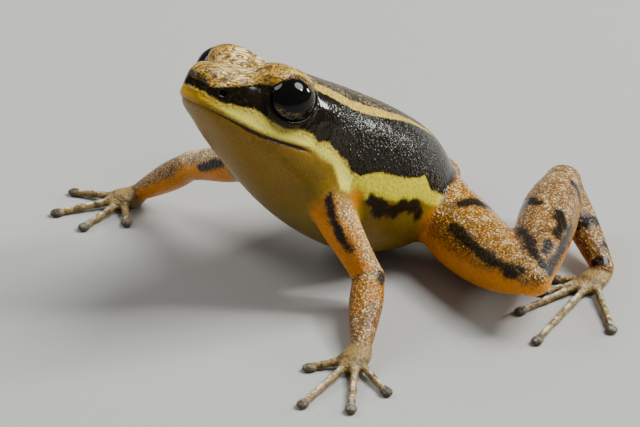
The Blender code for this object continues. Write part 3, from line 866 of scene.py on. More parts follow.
@dataclass
class Markings:
    """The frog's pattern, and the line of the mouth where shade is painted, as signed distances in mm,
    positive inside each mark, one a vertex.

    The edges are heights above the body line at distances along it, the warm places are spots with a radius.
    """
    flesh: Flesh
    blotches: tuple[Blotch, ...] = (
        Blotch(12.90, -2.38, 0.66, 0.34), Blotch(13.75, -2.66, 0.62, 0.46), Blotch(14.50, -2.52, 0.52, 0.40),
        Blotch(15.25, -2.08, 0.56, 0.40), Blotch(16.05, -1.86, 0.58, 0.42), Blotch(16.70, -2.18, 0.32, 0.42))
    warm_places: tuple[tuple[float, float, float, float], ...] = (
        (11.45, 4.1, -2.5, 0.62), (18.4, 4.1, -2.6, 1.1), (10.2, 3.6, -4.0, 0.7))
    back_edge: tuple[tuple[float, float], ...] = (
        (0.3, 0.66), (0.42, 0.64), (0.56, 0.64), (0.67, 0.59), (0.73, 0.54), (0.85, 0.54), (1.1, 0.57),
        (1.43, 0.73), (1.91, 0.94), (2.54, 1.23), (3.15, 1.53), (3.41, 1.68), (5.2, 2.3), (6.5, 2.3),
        (7.8, 2.42), (9.0, 2.28), (10.2, 2.15), (11.7, 2.2), (13.3, 2.32), (15.2, 2.43), (17.0, 2.3),
        (18.5, 1.95), (20.8, 1.2), (22.3, 0.2), (23.4, -0.7))
    flank_edge: tuple[tuple[float, float], ...] = (
        (0.3, 0.1), (0.49, 0.1), (0.63, 0.07), (0.74, 0.09), (0.87, 0.03), (1.06, -0.02), (1.33, -0.1),
        (1.64, -0.16), (2.12, -0.01), (2.6, 0.03), (3.07, 0.12), (3.62, 0.05), (4.22, -0.11), (4.96, -0.24),
        (5.89, 0.0), (6.72, -0.03), (7.29, -0.33), (7.94, -0.15), (8.77, -0.46), (9.99, -0.92),
        (10.38, -1.23), (11.14, -1.27), (11.85, -0.92), (12.56, -0.68), (13.46, -0.64), (14.83, -0.48),
        (15.56, -0.27), (16.15, -0.03), (16.58, -0.35), (17.07, -0.72), (17.7, -0.7), (18.6, -0.8),
        (20.5, -0.95), (22.5, -1.1), (23.4, -1.1))
    lip_edge: tuple[tuple[float, float], ...] = (
        (0.3, -0.58), (0.69, -0.55), (0.97, -0.48), (1.45, -0.55), (2.37, -0.72), (3.34, -0.85),
        (4.01, -0.92), (4.74, -0.91), (5.62, -0.85), (6.9, -0.8), (7.81, -1.06), (8.8, -1.22), (9.4, -1.65),
        (9.95, -2.35), (10.9, -2.45))
    band_edge: tuple[tuple[float, float], ...] = (
        (10.5, -2.3), (12.2, -2.45), (13.6, -2.05), (15.0, -1.85), (16.0, -1.45), (18.0, -1.5),
        (19.5, -1.3))
    stripe_line: tuple[tuple[float, float, float], ...] = (
        (2.2, 1.7, 1.12), (3.4, 2.35, 1.8), (4.4, 2.7, 2.8), (5.4, 2.95, 2.9), (6.3, 2.75, 2.68),
        (7.0, 2.5, 2.6), (7.8, 2.5, 2.54), (9.0, 2.6, 2.4), (10.2, 2.75, 2.27), (11.7, 2.75, 2.31),
        (13.3, 2.6, 2.42), (15.2, 2.32, 2.51), (17.5, 2.05, 2.3), (20.0, 1.6, 1.45))

    def lanes(self, body: np.ndarray) -> dict[str, np.ndarray]:
        """Marks of the head and trunk, from heights above and below edges that are drawn along it.

        Args:
            body: Rows of along, side and up for each vertex.

        Returns:
            Named distances.
        """
        along, side, up = body.T
        side = np.abs(side)

        mirrored = np.stack([along, side, up], axis=1)
        edges = (self.back_edge, self.flank_edge, self.lip_edge, self.band_edge)
        back, flank, lip, band = (np.interp(along, *np.array(edge).T) for edge in edges)
        stripe, _ = run_distance(mirrored, np.array(self.stripe_line))
        width = np.interp(along, (2.2, 3.4, 5.0, 6.3, 7.8, 9.0, 10.3, 11.8, 13.5, 15.2, 17.5, 20.0),
                          (0.05, 0.14, 0.12, 0.28, 0.42, 0.42, 0.37, 0.33, 0.28, 0.22, 0.12, 0.0))
        ovals = [1.0 - np.hypot((along - b.along) / b.long_radius, (up - b.up) / b.short_radius)
                 for b in self.blotches]
        spots = np.max([oval * b.short_radius for oval, b in zip(ovals, self.blotches)], axis=0)
        mouth = np.abs(up - self.flesh.mouth_height(along))
        return {
            "back": up - back,
            "flank": np.minimum(up - flank, back - up),
            "lip": np.minimum(np.minimum(flank - up, up - lip), 10.9 - along),
            "band": np.minimum(np.minimum(flank - up, up - band), np.minimum(along - 10.6, 18.8 - along)),
            "stripe": width - stripe,
            "warm": np.max([spread - np.linalg.norm(mirrored - place, axis=1)
                            for *place, spread in self.warm_places], axis=0),
            "spot": np.where(side > 1.5, spots, -1.0),
            # Painted shade: a dark band along the mouth's line, over the shallow groove carved there.
            "mouth": np.interp(along, (1.2, 2.4, 4.0, 6.3, 7.1), (0.0, 0.07, 0.12, 0.12, -0.06)) - mouth,
            "along": along, "side": side, "up": up}

    def limbs(self, points: np.ndarray, normals: np.ndarray, trunk: np.ndarray) -> dict[str, np.ndarray]:
        """Shares of arm, leg and foot, how far a limb's skin faces up, and the marks on limbs.

        Args:
            points: World points in mm.
            normals: Unit slopes of the field there.
            trunk: Distances to the trunk.

        Returns:
            Named values.
        """
        count = len(points)
        limb, hind, foot, tip = np.zeros(count), np.zeros(count), np.zeros(count), np.zeros(count)
        outer, spot, streak = np.zeros(count), np.full(count, -1.0), np.zeros(count)
        best = trunk.copy()
        for member in self.flesh.arms + self.flesh.legs:
            is_leg = isinstance(member, Leg)
            parts = self.flesh.limb(points, member)
            near = np.min(parts, axis=0)
            share = smooth_step(*((0.50, -0.50) if is_leg else (0.35, -1.25)), near - trunk)
            limb = np.maximum(limb, share)
            mine = near < best
            best = np.minimum(best, near)
            hind = np.where(mine | (share > 0.02), float(is_leg), hind)
            beyond = smooth_step(0.25, -0.25, np.minimum.reduce(parts[1:]) - parts[0])
            outer = np.maximum(outer, beyond * (near < 0.3))
            last = smooth_step(0.30, -0.30, parts[-1] - np.min(parts[:-1], axis=0))
            foot = np.maximum(foot, last * (near < 0.3))
            _, digits = member.foot.build()
            for digit in digits:
                away, place = run_distance(points, digit.path()[:, :3])
                close = away < 0.5
                tip = np.where(close, np.maximum(tip, smooth_step(0.90, 0.97, place)), tip)
                streak = np.where(close, place * np.linalg.norm(digit.tip - digit.start), streak)
            for name, bone in member.bones.items():
                for *ends, width in LIMB_MARKS[name]:
                    away, _ = run_distance(points, bone.stroke(np.array(ends), member.half))
                    spot = np.maximum(spot, width - away)
        return {"limb": limb, "hind": hind, "outer": outer, "foot": foot, "tip": tip, "streak": streak,
                "limb_spot": spot, "top": normals[:, 2]}

    def build(self, points: np.ndarray, normals: np.ndarray) -> dict[str, np.ndarray]:
        """Every named value that the skin's finish reads.

        Args:
            points: World points in mm.
            normals: Unit slopes of the field there.

        Returns:
            Arrays of one value a vertex.
        """
        body = self.flesh.stance.to_body(points)
        trunk = self.flesh.face(points, self.flesh.near_trunk(points))
        result = self.lanes(body)
        limbs = self.limbs(points, normals, trunk)
        result["spot"] = np.where(limbs["limb"] > 0.6, -1.0, result["spot"])
        result["spot"] = np.maximum(result["spot"], limbs.pop("limb_spot"))
        result.update(limbs)
        lid = np.full(len(points), -1.0)
        for half in Side:
            centre, _ = self.flesh.eye_axes(half)
            away = np.linalg.norm(points - centre, axis=1)
            tilt = (points - centre) @ self.flesh.stance.axes[2] / away
            lid = np.maximum(lid, 0.13 - 0.12 * tilt - (away - EYE_RADIUS))
        result["lid"] = lid
        return result


Colour = tuple[float, float, float]
Value = float | str | Colour | bpy.types.NodeSocket
MIX_SHARE, MIX_UNDER, MIX_OVER, MIX_RESULT = 0, 6, 7, 2
GRANULE_HEIGHT, FOLD_HEIGHT = 0.000036, 0.00004


class Graph:
    """Short ways to add shader nodes to one material; a text stands for an attribute of the mesh."""

    def __init__(self, name: str) -> None:
        """Starts a material with its shader and output.

        Args:
            name: Name of the material.
        """
        self.material = bpy.data.materials.new(name)
        self.material.use_nodes = True
        self.tree = self.material.node_tree
        self.shader = self.tree.nodes["Principled BSDF"]
        coordinates = self.tree.nodes.new("ShaderNodeTexCoord")
        scale = self.tree.nodes.new("ShaderNodeVectorMath")
        scale.operation = "SCALE"
        scale.inputs["Scale"].default_value = 1.0 / MM
        self.tree.links.new(coordinates.outputs["Object"], scale.inputs[0])
        self.place = scale.outputs[0]

    def put(self, value: Value, socket: bpy.types.NodeSocket) -> None:
        """Links a socket or a named attribute of the mesh, or sets a number or colour.

        Args:
            value: What the socket gets.
            socket: The socket that gets it.
        """
        if isinstance(value, str):
            node = self.tree.nodes.new("ShaderNodeAttribute")
            node.attribute_name = value
            value = node.outputs["Fac"]
        if isinstance(value, bpy.types.NodeSocket):
            self.tree.links.new(value, socket)
        elif isinstance(value, tuple) and socket.type == "RGBA":
            socket.default_value = (*value, 1.0)
        else:
            socket.default_value = value

    def math(self, operation: str, *values: Value) -> bpy.types.NodeSocket:
        """One arithmetic step on numbers, sockets or attributes.

        Args:
            operation: The step's name.
            *values: What it works on.

        Returns:
            The result's socket.
        """
        node = self.tree.nodes.new("ShaderNodeMath")
        node.operation = operation
        for value, socket in zip(values, node.inputs):
            self.put(value, socket)
        return node.outputs[0]

    def times(self, first: Value, *others: Value) -> bpy.types.NodeSocket:
        """Product of all the values."""
        for value in others:
            first = self.math("MULTIPLY", first, value)
        return first

    def line(self, value: Value, slope: Value, start: Value) -> bpy.types.NodeSocket:
        """Start plus slope times the value."""
        return self.math("MULTIPLY_ADD", value, slope, start)

    def pattern(self, kind: str, place: bpy.types.NodeSocket | None, **numbers: float) -> bpy.types.Node:
        """A texture node read at a place in mm, with its numbers by name.

        Args:
            kind: The node's type.
            place: Where it is read, or None for the object's own place.
            **numbers: Values of its sockets.

        Returns:
            The node.
        """
        node = self.tree.nodes.new(kind)
        for name, number in numbers.items():
            node.inputs[name].default_value = number
        self.tree.links.new(place or self.place, node.inputs["Vector"])
        return node

    def noise(self, scale: float, detail: float = 3.0, rough: float = 0.6, distortion: float = 0.0,
              place: bpy.types.NodeSocket | None = None) -> bpy.types.NodeSocket:
        """Noise with a number of lumps a mm."""
        return self.pattern("ShaderNodeTexNoise", place, Scale=scale, Detail=detail, Roughness=rough,
                            Distortion=distortion).outputs["Fac"]

    def cells(self, scale: float) -> bpy.types.NodeSocket:
        """Distance to the nearest of a number of scattered points a mm."""
        return self.pattern("ShaderNodeTexVoronoi", None, Scale=scale).outputs["Distance"]

    def span(self, value: Value, low: float, high: float, last: float = 1.0,
             first: float = 0.0) -> bpy.types.NodeSocket:
        """Smooth rise from first to last while the value goes from low to high.

        Args:
            value: What is mapped.
            low: Where the rise begins.
            high: Where it ends.
            last: Result from high on.
            first: Result up to low.

        Returns:
            The result's socket.
        """
        node = self.tree.nodes.new("ShaderNodeMapRange")
        node.interpolation_type = "SMOOTHSTEP"
        for number, name in ((low, "From Min"), (high, "From Max"), (first, "To Min"), (last, "To Max")):
            node.inputs[name].default_value = number
        self.put(value, node.inputs["Value"])
        return node.outputs["Result"]

    def coats(self, base: Value, *layers: tuple[Value, Value]) -> bpy.types.NodeSocket:
        """A colour under layers, each a share and the colour that covers the ones before by it.

        Args:
            base: The lowest colour.
            *layers: Pairs of share and colour, from below.

        Returns:
            The colour's socket.
        """
        for share, colour in layers:
            node = self.tree.nodes.new("ShaderNodeMix")
            node.data_type = "RGBA"
            for value, place in ((share, MIX_SHARE), (base, MIX_UNDER), (colour, MIX_OVER)):
                self.put(value, node.inputs[place])
            base = node.outputs[MIX_RESULT]
        return base

    def bump(self, height: Value, distance: float,
             under: bpy.types.NodeSocket | None = None) -> bpy.types.NodeSocket:
        """Normal raised by a height, over the normal under it.

        Args:
            height: The relief, from 0 to 1.
            distance: Its height in metres.
            under: A normal that is there already.

        Returns:
            The normal's socket.
        """
        node = self.tree.nodes.new("ShaderNodeBump")
        node.inputs["Distance"].default_value = distance
        self.put(height, node.inputs["Height"])
        if under is not None:
            self.tree.links.new(under, node.inputs["Normal"])
        return node.outputs["Normal"]

    def finish(self, **values: Value) -> bpy.types.Material:
        """The material, once each value is on the shader's socket of that name, underscores for spaces."""
        for name, value in values.items():
            self.put(value, self.shader.inputs[name.replace("_", " ")])
        return self.material

    def stretch(self, scale: Colour, turn: float) -> bpy.types.NodeSocket:
        """Place in mm, turned about the vertical and then stretched on each axis.

        Args:
            scale: Stretch on each axis.
            turn: Turn in radians.

        Returns:
            The place's socket.
        """
        node = self.pattern("ShaderNodeMapping", None)
        node.vector_type = "TEXTURE"
        node.inputs["Scale"].default_value = scale
        node.inputs["Rotation"].default_value = (0.0, 0.0, turn)
        return node.outputs[0]


@dataclass(frozen=True)
class SkinFinish:
    """Moist granular skin with the frog's pattern, and with painted sheen, glints and shade in places;
    colours are linear.
    """
    back: Colour = (0.020, 0.014, 0.006)
    # Golden beads of the back, brightened to paint glints on them as well.
    back_bead_and_glint: Colour = (0.52, 0.42, 0.20)
    crown: Colour = (0.62, 0.35, 0.020)
    # Painted sheen: the whitish gloss of light on the wet crown's top, put into the colour.
    painted_crown_sheen: Colour = (0.80, 0.66, 0.36)
    vein: Colour = (0.11, 0.062, 0.022)
    flank: Colour = (0.0050, 0.0034, 0.0012)
    flank_grain: Colour = (0.045, 0.034, 0.010)
    lip: Colour = (0.80, 0.72, 0.11)
    lip_front: Colour = (0.60, 0.33, 0.001)
    stripe: Colour = (0.80, 0.56, 0.070)
    throat: Colour = (0.27, 0.145, 0.002)
    throat_grain: Colour = (0.13, 0.060, 0.003)
    belly: Colour = (0.19, 0.125, 0.001)
    band: Colour = (0.62, 0.54, 0.030)
    arm: Colour = (0.72, 0.24, 0.003)
    arm_low: Colour = (0.52, 0.215, 0.014)
    # Partly painted sheen: paler colour of the arm's up-facing top, for the gloss of light on it.
    arm_top_and_sheen: Colour = (0.92, 0.66, 0.32)
    thigh: Colour = (0.72, 0.24, 0.001)
    thigh_top: Colour = (0.54, 0.235, 0.010)
    shank_top: Colour = (0.34, 0.185, 0.055)
    # Pale granules, partly painted glints on the limbs' up-facing skin.
    pale_granule_and_glint: Colour = (0.92, 0.75, 0.42)
    groove: Colour = (0.095, 0.036, 0.006)
    foot: Colour = (0.28, 0.185, 0.062)
    disc: Colour = (0.62, 0.58, 0.47)
    disc_dark: Colour = (0.060, 0.052, 0.045)
    mark: Colour = (0.010, 0.0055, 0.0025)
    mark_edge: Colour = (0.075, 0.032, 0.008)
    warm: Colour = (0.42, 0.135, 0.001)
    # Painted shade along the mouth's line.
    mouth: Colour = (0.040, 0.016, 0.003)
    shade: Colour = (0.02, 0.012, 0.006)

    def build(self) -> bpy.types.Material:
        """Mixes the pattern's colours by their distances, with ragged granular edges, and adds the grain.

        Returns:
            The material.
        """
        g = Graph("frog_skin")
        grain = Grain(g)
        back = self.upper_side(g, grain)
        lip, belly, band = self.lower_side(g, grain)
        limb = self.limbs(g, grain)

        def inside(name: str, soft: float, wander: float = 1.0, jitter: Value = grain.ragged) -> Value:
            """Share of a mark, from its distance with a ragged edge."""
            return g.span(g.line(jitter, wander, name), -soft, soft)

        specks = g.times(g.span(grain.fine, 0.50, 0.62), g.span(grain.middle, 0.40, 0.60, 0.55))
        flank = g.coats(self.flank, (specks, self.flank_grain))
        stripe = g.coats(self.stripe, (g.span(grain.fine, 0.48, 0.62, 0.6), self.vein),
                         (g.span(grain.pebble, 0.55, 0.05, 0.50), self.vein))
        colour = g.coats(
            belly, (inside("band", 0.16), band), (inside("flank", 0.05), flank),
            (inside("lip", 0.16, 1.2), lip), (inside("back", 0.06, 0.8), back),
            (g.times(inside("warm", 0.35), g.span("flank", 0.0, -0.2, 0.85)), self.warm),
            (inside("stripe", 0.05, 0.9), stripe),
            (g.span(g.line(grain.ragged, 0.7, "limb"), 0.12, 0.88), limb),
            (g.times(inside("spot", 0.34, 1.3, grain.loose), 0.80), self.mark_edge),
            (g.times(inside("spot", 0.13, 1.1, grain.loose), g.line(grain.dots, -0.35, 1.0)), self.mark),
            # The first pair paints shade along the mouth's line; the second is the lids' own dark colour.
            (inside("mouth", 0.05, 0.35), self.mouth), (inside("lid", 0.03, 0.3), self.flank),
            (g.span(g.noise(0.7, rough=0.55), 0.35, 0.75, 0.16), self.shade))
        rough, normal = self.surface(g, grain)
        return g.finish(Base_Color=colour, Roughness=rough, Normal=normal, IOR=1.30, Subsurface_Weight=0.05,
                        Subsurface_Radius=(1.0, 0.45, 0.2), Subsurface_Scale=0.0003)

    def upper_side(self, g: Graph, grain: "Grain") -> Value:
        """Colour of crown and back: the crown's net of veins and dark tip with a painted sheen on its top,
        and the back's golden beads, brightened to stand in for glints too.

        Args:
            g: The material's graph.
            grain: The patterns that it shares.

        Returns:
            The colour.
        """
        place = g.stretch((2.2, 1.0, 1.0), math.radians(70.0))
        net = g.math("ABSOLUTE", g.math("SUBTRACT", g.noise(2.6, distortion=0.8, place=place), 0.5))
        # Painted sheen: whitish gloss on the top of the crown between the veins, mixed in where the side
        # distance is under 2 mm.
        pale = g.times(g.span("side", 2.0, 1.2), g.span(net, 0.04, 0.15), g.span("along", 0.9, 1.6))
        tip = g.times(g.span("along", 1.15, 0.50), g.span("back", 0.70, 0.0))
        tip = g.span(g.line(grain.fine, 0.9, g.math("SUBTRACT", tip, 0.45)), 0.25, 0.60, 0.85)
        crown = g.coats(
            self.crown, (g.span(net, 0.07, 0.02), self.vein),
            (g.span(grain.fine, 0.50, 0.66, 0.30), self.vein),
            (g.span(grain.pebble, 0.50, 0.05, 0.35), self.vein), (pale, self.painted_crown_sheen), (tip, self.back))
        # Beads of the back: real golden specks, brightened to paint glints as well.
        beads = g.times(g.span(grain.beads, 0.46, 0.20), g.span(grain.fine, 0.42, 0.56, 0.85))
        head = g.span(g.line(grain.middle, 3.0, "along"), 9.8, 7.4)
        return g.coats(self.back, (g.span(g.line(grain.middle, 0.6, grain.fine), 0.82, 1.0), self.vein),
                       (beads, self.back_bead_and_glint), (head, crown))

    def lower_side(self, g: Graph, grain: "Grain") -> tuple[Value, Value, Value]:
        """Colours of the lip's stripe, of throat and belly, and of the band over the belly.

        Args:
            g: The material's graph.
            grain: The patterns that it shares.

        Returns:
            The three colours.
        """
        belly = g.coats(self.throat, (g.span("along", 5.0, 12.5), self.belly),
                        (g.span(grain.fine, 0.50, 0.70, 0.55), self.throat_grain),
                        (g.span(grain.pebble, 0.50, 0.05, 0.25), self.throat_grain))
        low = g.span(g.line(grain.fine, 0.9, "lip"), 0.72, 0.46, 0.65)
        lip = g.coats(self.lip_front, (g.span("along", 0.7, 2.3), self.lip),
                      (g.span(grain.fine, 0.46, 0.62, 0.30), self.throat), (low, self.throat),
                      (g.span("flank", -0.14, 0.0, 0.55), self.stripe))
        return lip, belly, g.coats(self.band, (g.span(grain.fine, 0.48, 0.66, 0.5), self.belly))

    def limbs(self, g: Graph, grain: "Grain") -> Value:
        """Colour of arms and legs, orange under and mottled brown over with painted sheen and glints where
        the skin faces up, and of hands and feet.

        Args:
            g: The material's graph.
            grain: The patterns that it shares.

        Returns:
            The colour.
        """
        fine, middle, pebble, patch = grain.fine, grain.middle, grain.pebble, grain.patch
        top = g.line(g.math("SUBTRACT", middle, 0.5), 0.9, "top")
        shank = g.times("outer", "hind")
        tops = g.span(g.line("outer", g.line("hind", -0.35, 0.65), top), -0.05, 0.55)
        # How far the skin faces up: the painted sheen and glints follow it.
        level = g.times(g.math("SUBTRACT", g.math("ADD", top, 1.0), "outer"), 0.6)
        high = g.coats(g.span(level, 0.50, 0.75), ("hind", g.span(top, 0.3, 0.8)))
        # Painted sheen: pale granule colour in patches on skin that faces up.
        pale = g.times(g.span(g.noise(2.0, rough=0.65), 0.50, 0.62), high, g.line("hind", -0.15, 0.70))
        lit = g.coats(g.span(level, 0.30, 0.75), ("hind", g.span(top, 0.1, 0.8)))
        over = g.coats(
            # Up-facing arm skin gets the paler top colour, which is partly painted sheen.
            self.arm_low, (g.span(level, 0.52, 0.80), self.arm_top_and_sheen), ("hind", self.thigh_top),
            (shank, self.shank_top), (pale, self.pale_granule_and_glint),
            (g.times(g.span(patch, 0.50, 0.66), g.line(shank, 0.45, 0.50)), self.vein),
            (g.span(fine, 0.50, 0.66, 0.40), self.groove), (g.span(pebble, 0.55, 0.05, 0.75), self.groove),
            # Painted glints: pale dots at the granules' centres, stronger where the skin faces up.
            (g.times(grain.dots, g.line(lit, 0.45, 0.25)), self.pale_granule_and_glint))
        under = g.coats(self.arm, ("hind", self.thigh), (g.span(fine, 0.52, 0.70, 0.35), self.groove))
        banding = g.span(g.math("SINE", g.times("streak", 5.2)), 0.2, 0.8, 0.45)
        ridge = g.times(g.span("top", 0.72, 0.97), g.span("streak", 0.4, 1.6), g.span(middle, 0.44, 0.56))
        foot = g.coats(
            self.foot, (g.span(fine, 0.44, 0.60, 0.5), self.vein), (ridge, self.disc), (banding, self.mark),
            (g.times("tip", g.span(fine, 0.42, 0.60, 0.6, 0.95)), self.disc_dark))
        return g.coats(under, (tops, over), ("foot", foot))

    def surface(self, g: Graph, grain: "Grain") -> tuple[Value, Value]:
        """Roughness, low on the wet dark sides, and the normal raised by granules, quiet where smooth.

        Args:
            g: The material's graph.
            grain: The patterns that it shares.

        Returns:
            The roughness and the normal.
        """
        smooth = g.times(g.span("flank", 0.2, -0.6), g.span("limb", 0.6, 0.2), g.span("back", 0.0, -0.5))
        dark = g.span("flank", -0.1, 0.15)
        wet = g.times(dark, g.span("along", 7.6, 10.0), g.span("along", 20.0, 17.5))
        dull = g.math("SUBTRACT", dark, wet)
        rough = g.line(dark, -0.22, g.line(grain.fine, 0.20, 0.26))
        calm = g.line(dull, -0.14, g.line(g.math("MAXIMUM", dull, smooth), -0.78, 1.0))
        height = g.line(grain.fine, 0.5, g.span(grain.beads, 0.62, 0.02))
        normal = g.bump(g.times(height, calm), GRANULE_HEIGHT)
        return rough, g.bump(g.times(grain.middle, calm), FOLD_HEIGHT, normal)


@dataclass
class Grain:
    """Patterns of the skin that several of its colours share, each made once."""
    graph: Graph

    def __post_init__(self) -> None:
        """Adds noise at three sizes, pebbles, beads, and the wander of the marks' edges."""
        g = self.graph
        self.fine, self.middle, self.patch = (g.noise(scale) for scale in (7.0, 2.4, 1.25))
        self.beads = g.cells(5.2)
        self.pebble = g.span(g.cells(7.5), 0.62, 0.12)
        self.ragged = g.line(self.middle, 0.30, g.line(self.fine, 0.30, -0.30))
        self.loose = g.line(self.patch, 0.60, g.math("SUBTRACT", self.ragged, 0.27))
        # Dots at the granules' centres: the limbs' painted glints, and lighter specks inside the dark marks.
        self.dots = g.times(g.span(self.pebble, 0.50, 0.95), g.span(self.fine, 0.42, 0.58))


@dataclass(frozen=True)
class EyeFinish:
    """Glossy black eye with a fine gold net near the rim above and below the pupil."""
    black: Colour = (0.0020, 0.0020, 0.0016)
    gold: Colour = (0.42, 0.24, 0.07)

    def build(self) -> bpy.types.Material:
        """Gold threads of a stretched noise, kept to two arcs by the mesh's own values.

        Returns:
            The material.
        """
        g = Graph("frog_eye")
        net = g.math("ABSOLUTE", g.math("SUBTRACT", g.noise(6.0, 2.0, 0.5, 1.0), 0.5))
        ring = g.times(g.span("polar", 0.44, 0.52), g.span("polar", 0.68, 0.60))
        arcs = g.span(g.math("ABSOLUTE", g.math("ADD", "rise", 0.1)), 0.55, 0.85)
        colour = g.coats(self.black, (g.times(g.span(net, 0.05, 0.015, 0.85), ring, arcs), self.gold))
        return g.finish(Base_Color=colour, Roughness=0.04, IOR=1.30)


@dataclass(frozen=True)
class FloorFinish:
    """Plain pale matt floor."""
    colour: Colour = (0.37, 0.37, 0.36)

    def build(self) -> bpy.types.Material:
        """A pale colour with a trace of unevenness in its roughness.

        Returns:
            The material.
        """
        g = Graph("pale_floor")
        rough = g.line(g.noise(0.02, 2.0, 0.55), 0.1, 0.75)
        return g.finish(Base_Color=self.colour, Roughness=rough, Specular_IOR_Level=0.25)


@dataclass
class Skin:
    """The frog's one skin, from the snout to the tips of the toes."""
    flesh: Flesh
    markings: Markings
    finish: SkinFinish
    cell: float = 0.17
    quick_factor: float = 1.6
    passes: tuple[tuple[int, float], ...] = ((3, 0.5), (2, 0.4), (3, 0.25))
    replaced: tuple[str, ...] = tuple(
        ["head", "torso"] + [f"{side}_{part}" for side in ("left", "right") for part in
                             ("upper_arm", "forearm", "hand", "thigh", "shank", "tarsus", "foot")])

    def refine(self, mesh: bpy.types.Mesh, wanted: np.ndarray) -> None:
        """Splits every edge whose two ends are wanted, and fills the split faces with smaller ones.

        Args:
            mesh: The mesh, in mm.
            wanted: Whether each vertex is in the part that needs finer faces.
        """
        bm = bmesh.new()
        bm.from_mesh(mesh)
        bm.verts.ensure_lookup_table()
        edges = [edge for edge in bm.edges if wanted[edge.verts[0].index] and wanted[edge.verts[1].index]]
        bmesh.ops.subdivide_edges(bm, edges=edges, cuts=1, use_grid_fill=True)
        bm.to_mesh(mesh)
        bm.free()

    def settle(self, mesh: bpy.types.Mesh, rounds: int, pull: float) -> np.ndarray:
        """Moves the mesh's vertices onto the field's surface, evenly spread.

        Args:
            mesh: The mesh, in mm.
            rounds: How many times.
            pull: Share of the way to the neighbours' mean.

        Returns:
            The vertices in mm.
        """
        points = np.empty(len(mesh.vertices) * 3)
        mesh.vertices.foreach_get("co", points)
        edges = np.empty(len(mesh.edges) * 2, dtype=np.int32)
        mesh.edges.foreach_get("vertices", edges)
        net = Net(points.reshape(-1, 3), np.empty((0, 4), dtype=int))
        points = net.relaxed(self.flesh, edges.reshape(-1, 2), rounds, pull)
        mesh.vertices.foreach_set("co", points.ravel())
        mesh.update()
        return points

    def near_face(self, points: np.ndarray) -> np.ndarray:
        """Whether each point is by an eye, a nostril or the line of the mouth.

        Args:
            points: World points in mm.

        Returns:
            One truth value for each point.
        """
        body = self.flesh.stance.to_body(points)
        from_mouth = np.abs(body[:, 2] - self.flesh.mouth_height(body[:, 0]))
        lips = (from_mouth < 0.32) & (body[:, 0] < 8.2)
        eyes = np.zeros(len(points), dtype=bool)
        for half in Side:
            centre, axis = self.flesh.eye_axes(half)
            away = np.linalg.norm(points - centre, axis=1)
            pit = self.flesh.stance.point(*NOSTRIL_PLACE, half)
            eyes |= (away < EYE_RADIUS + 0.55) & ((points - centre) @ axis > -0.5)
            eyes |= np.linalg.norm(points - pit, axis=1) < 0.6
        return eyes | lips

    def build(self) -> bpy.types.Object:
        """Nets the field, makes the face and feet finer, and stores the pattern on the vertices.

        Returns:
            The skin's object.
        """
        low, high = (np.array(corner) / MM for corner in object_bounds())
        cell = self.cell * 1.0
        net = Net.from_field(self.flesh, low - 3 * cell, high + 3 * cell, cell)
        LOG.info("net: %d vertices, %d faces", len(net.vertices), len(net.quads))
        mesh = bpy.data.meshes.new("skin")
        mesh.from_pydata(net.vertices, [], net.quads)
        mesh.update()
        points = self.settle(mesh, *self.passes[0])
        limbs = self.flesh.arms + self.flesh.legs
        parts = np.min([self.flesh.limb(points, limb)[-1] for limb in limbs], axis=0)
        body = self.flesh.stance.to_body(points)
        self.refine(mesh, (body[:, 0] < 9.0) | (parts < 0.25))
        points = self.settle(mesh, *self.passes[1])
        self.refine(mesh, self.near_face(points))
        points = self.settle(mesh, *self.passes[2])
        value, slope = self.flesh.gradient(points)
        LOG.info("skin: %d vertices, at most %.3f mm from the surface", len(points), np.abs(value).max())
        normals = slope / np.maximum(np.linalg.norm(slope, axis=1), 1e-6)[:, None]
        store(mesh, self.markings.build(points, normals))
        mesh.vertices.foreach_set("co", (points * MM).ravel())
        mesh.shade_smooth()
        mesh.update()
        skin = add_object("skin", mesh)
        mesh.materials.append(self.finish.build())
        return skin

    def dress(self, skin: bpy.types.Object) -> None:
        """Rides the skin on the body and puts it in the place of the nodes of flesh.

        Args:
            skin: The skin's object.
        """
        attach(skin, "root")
        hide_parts(*self.replaced)


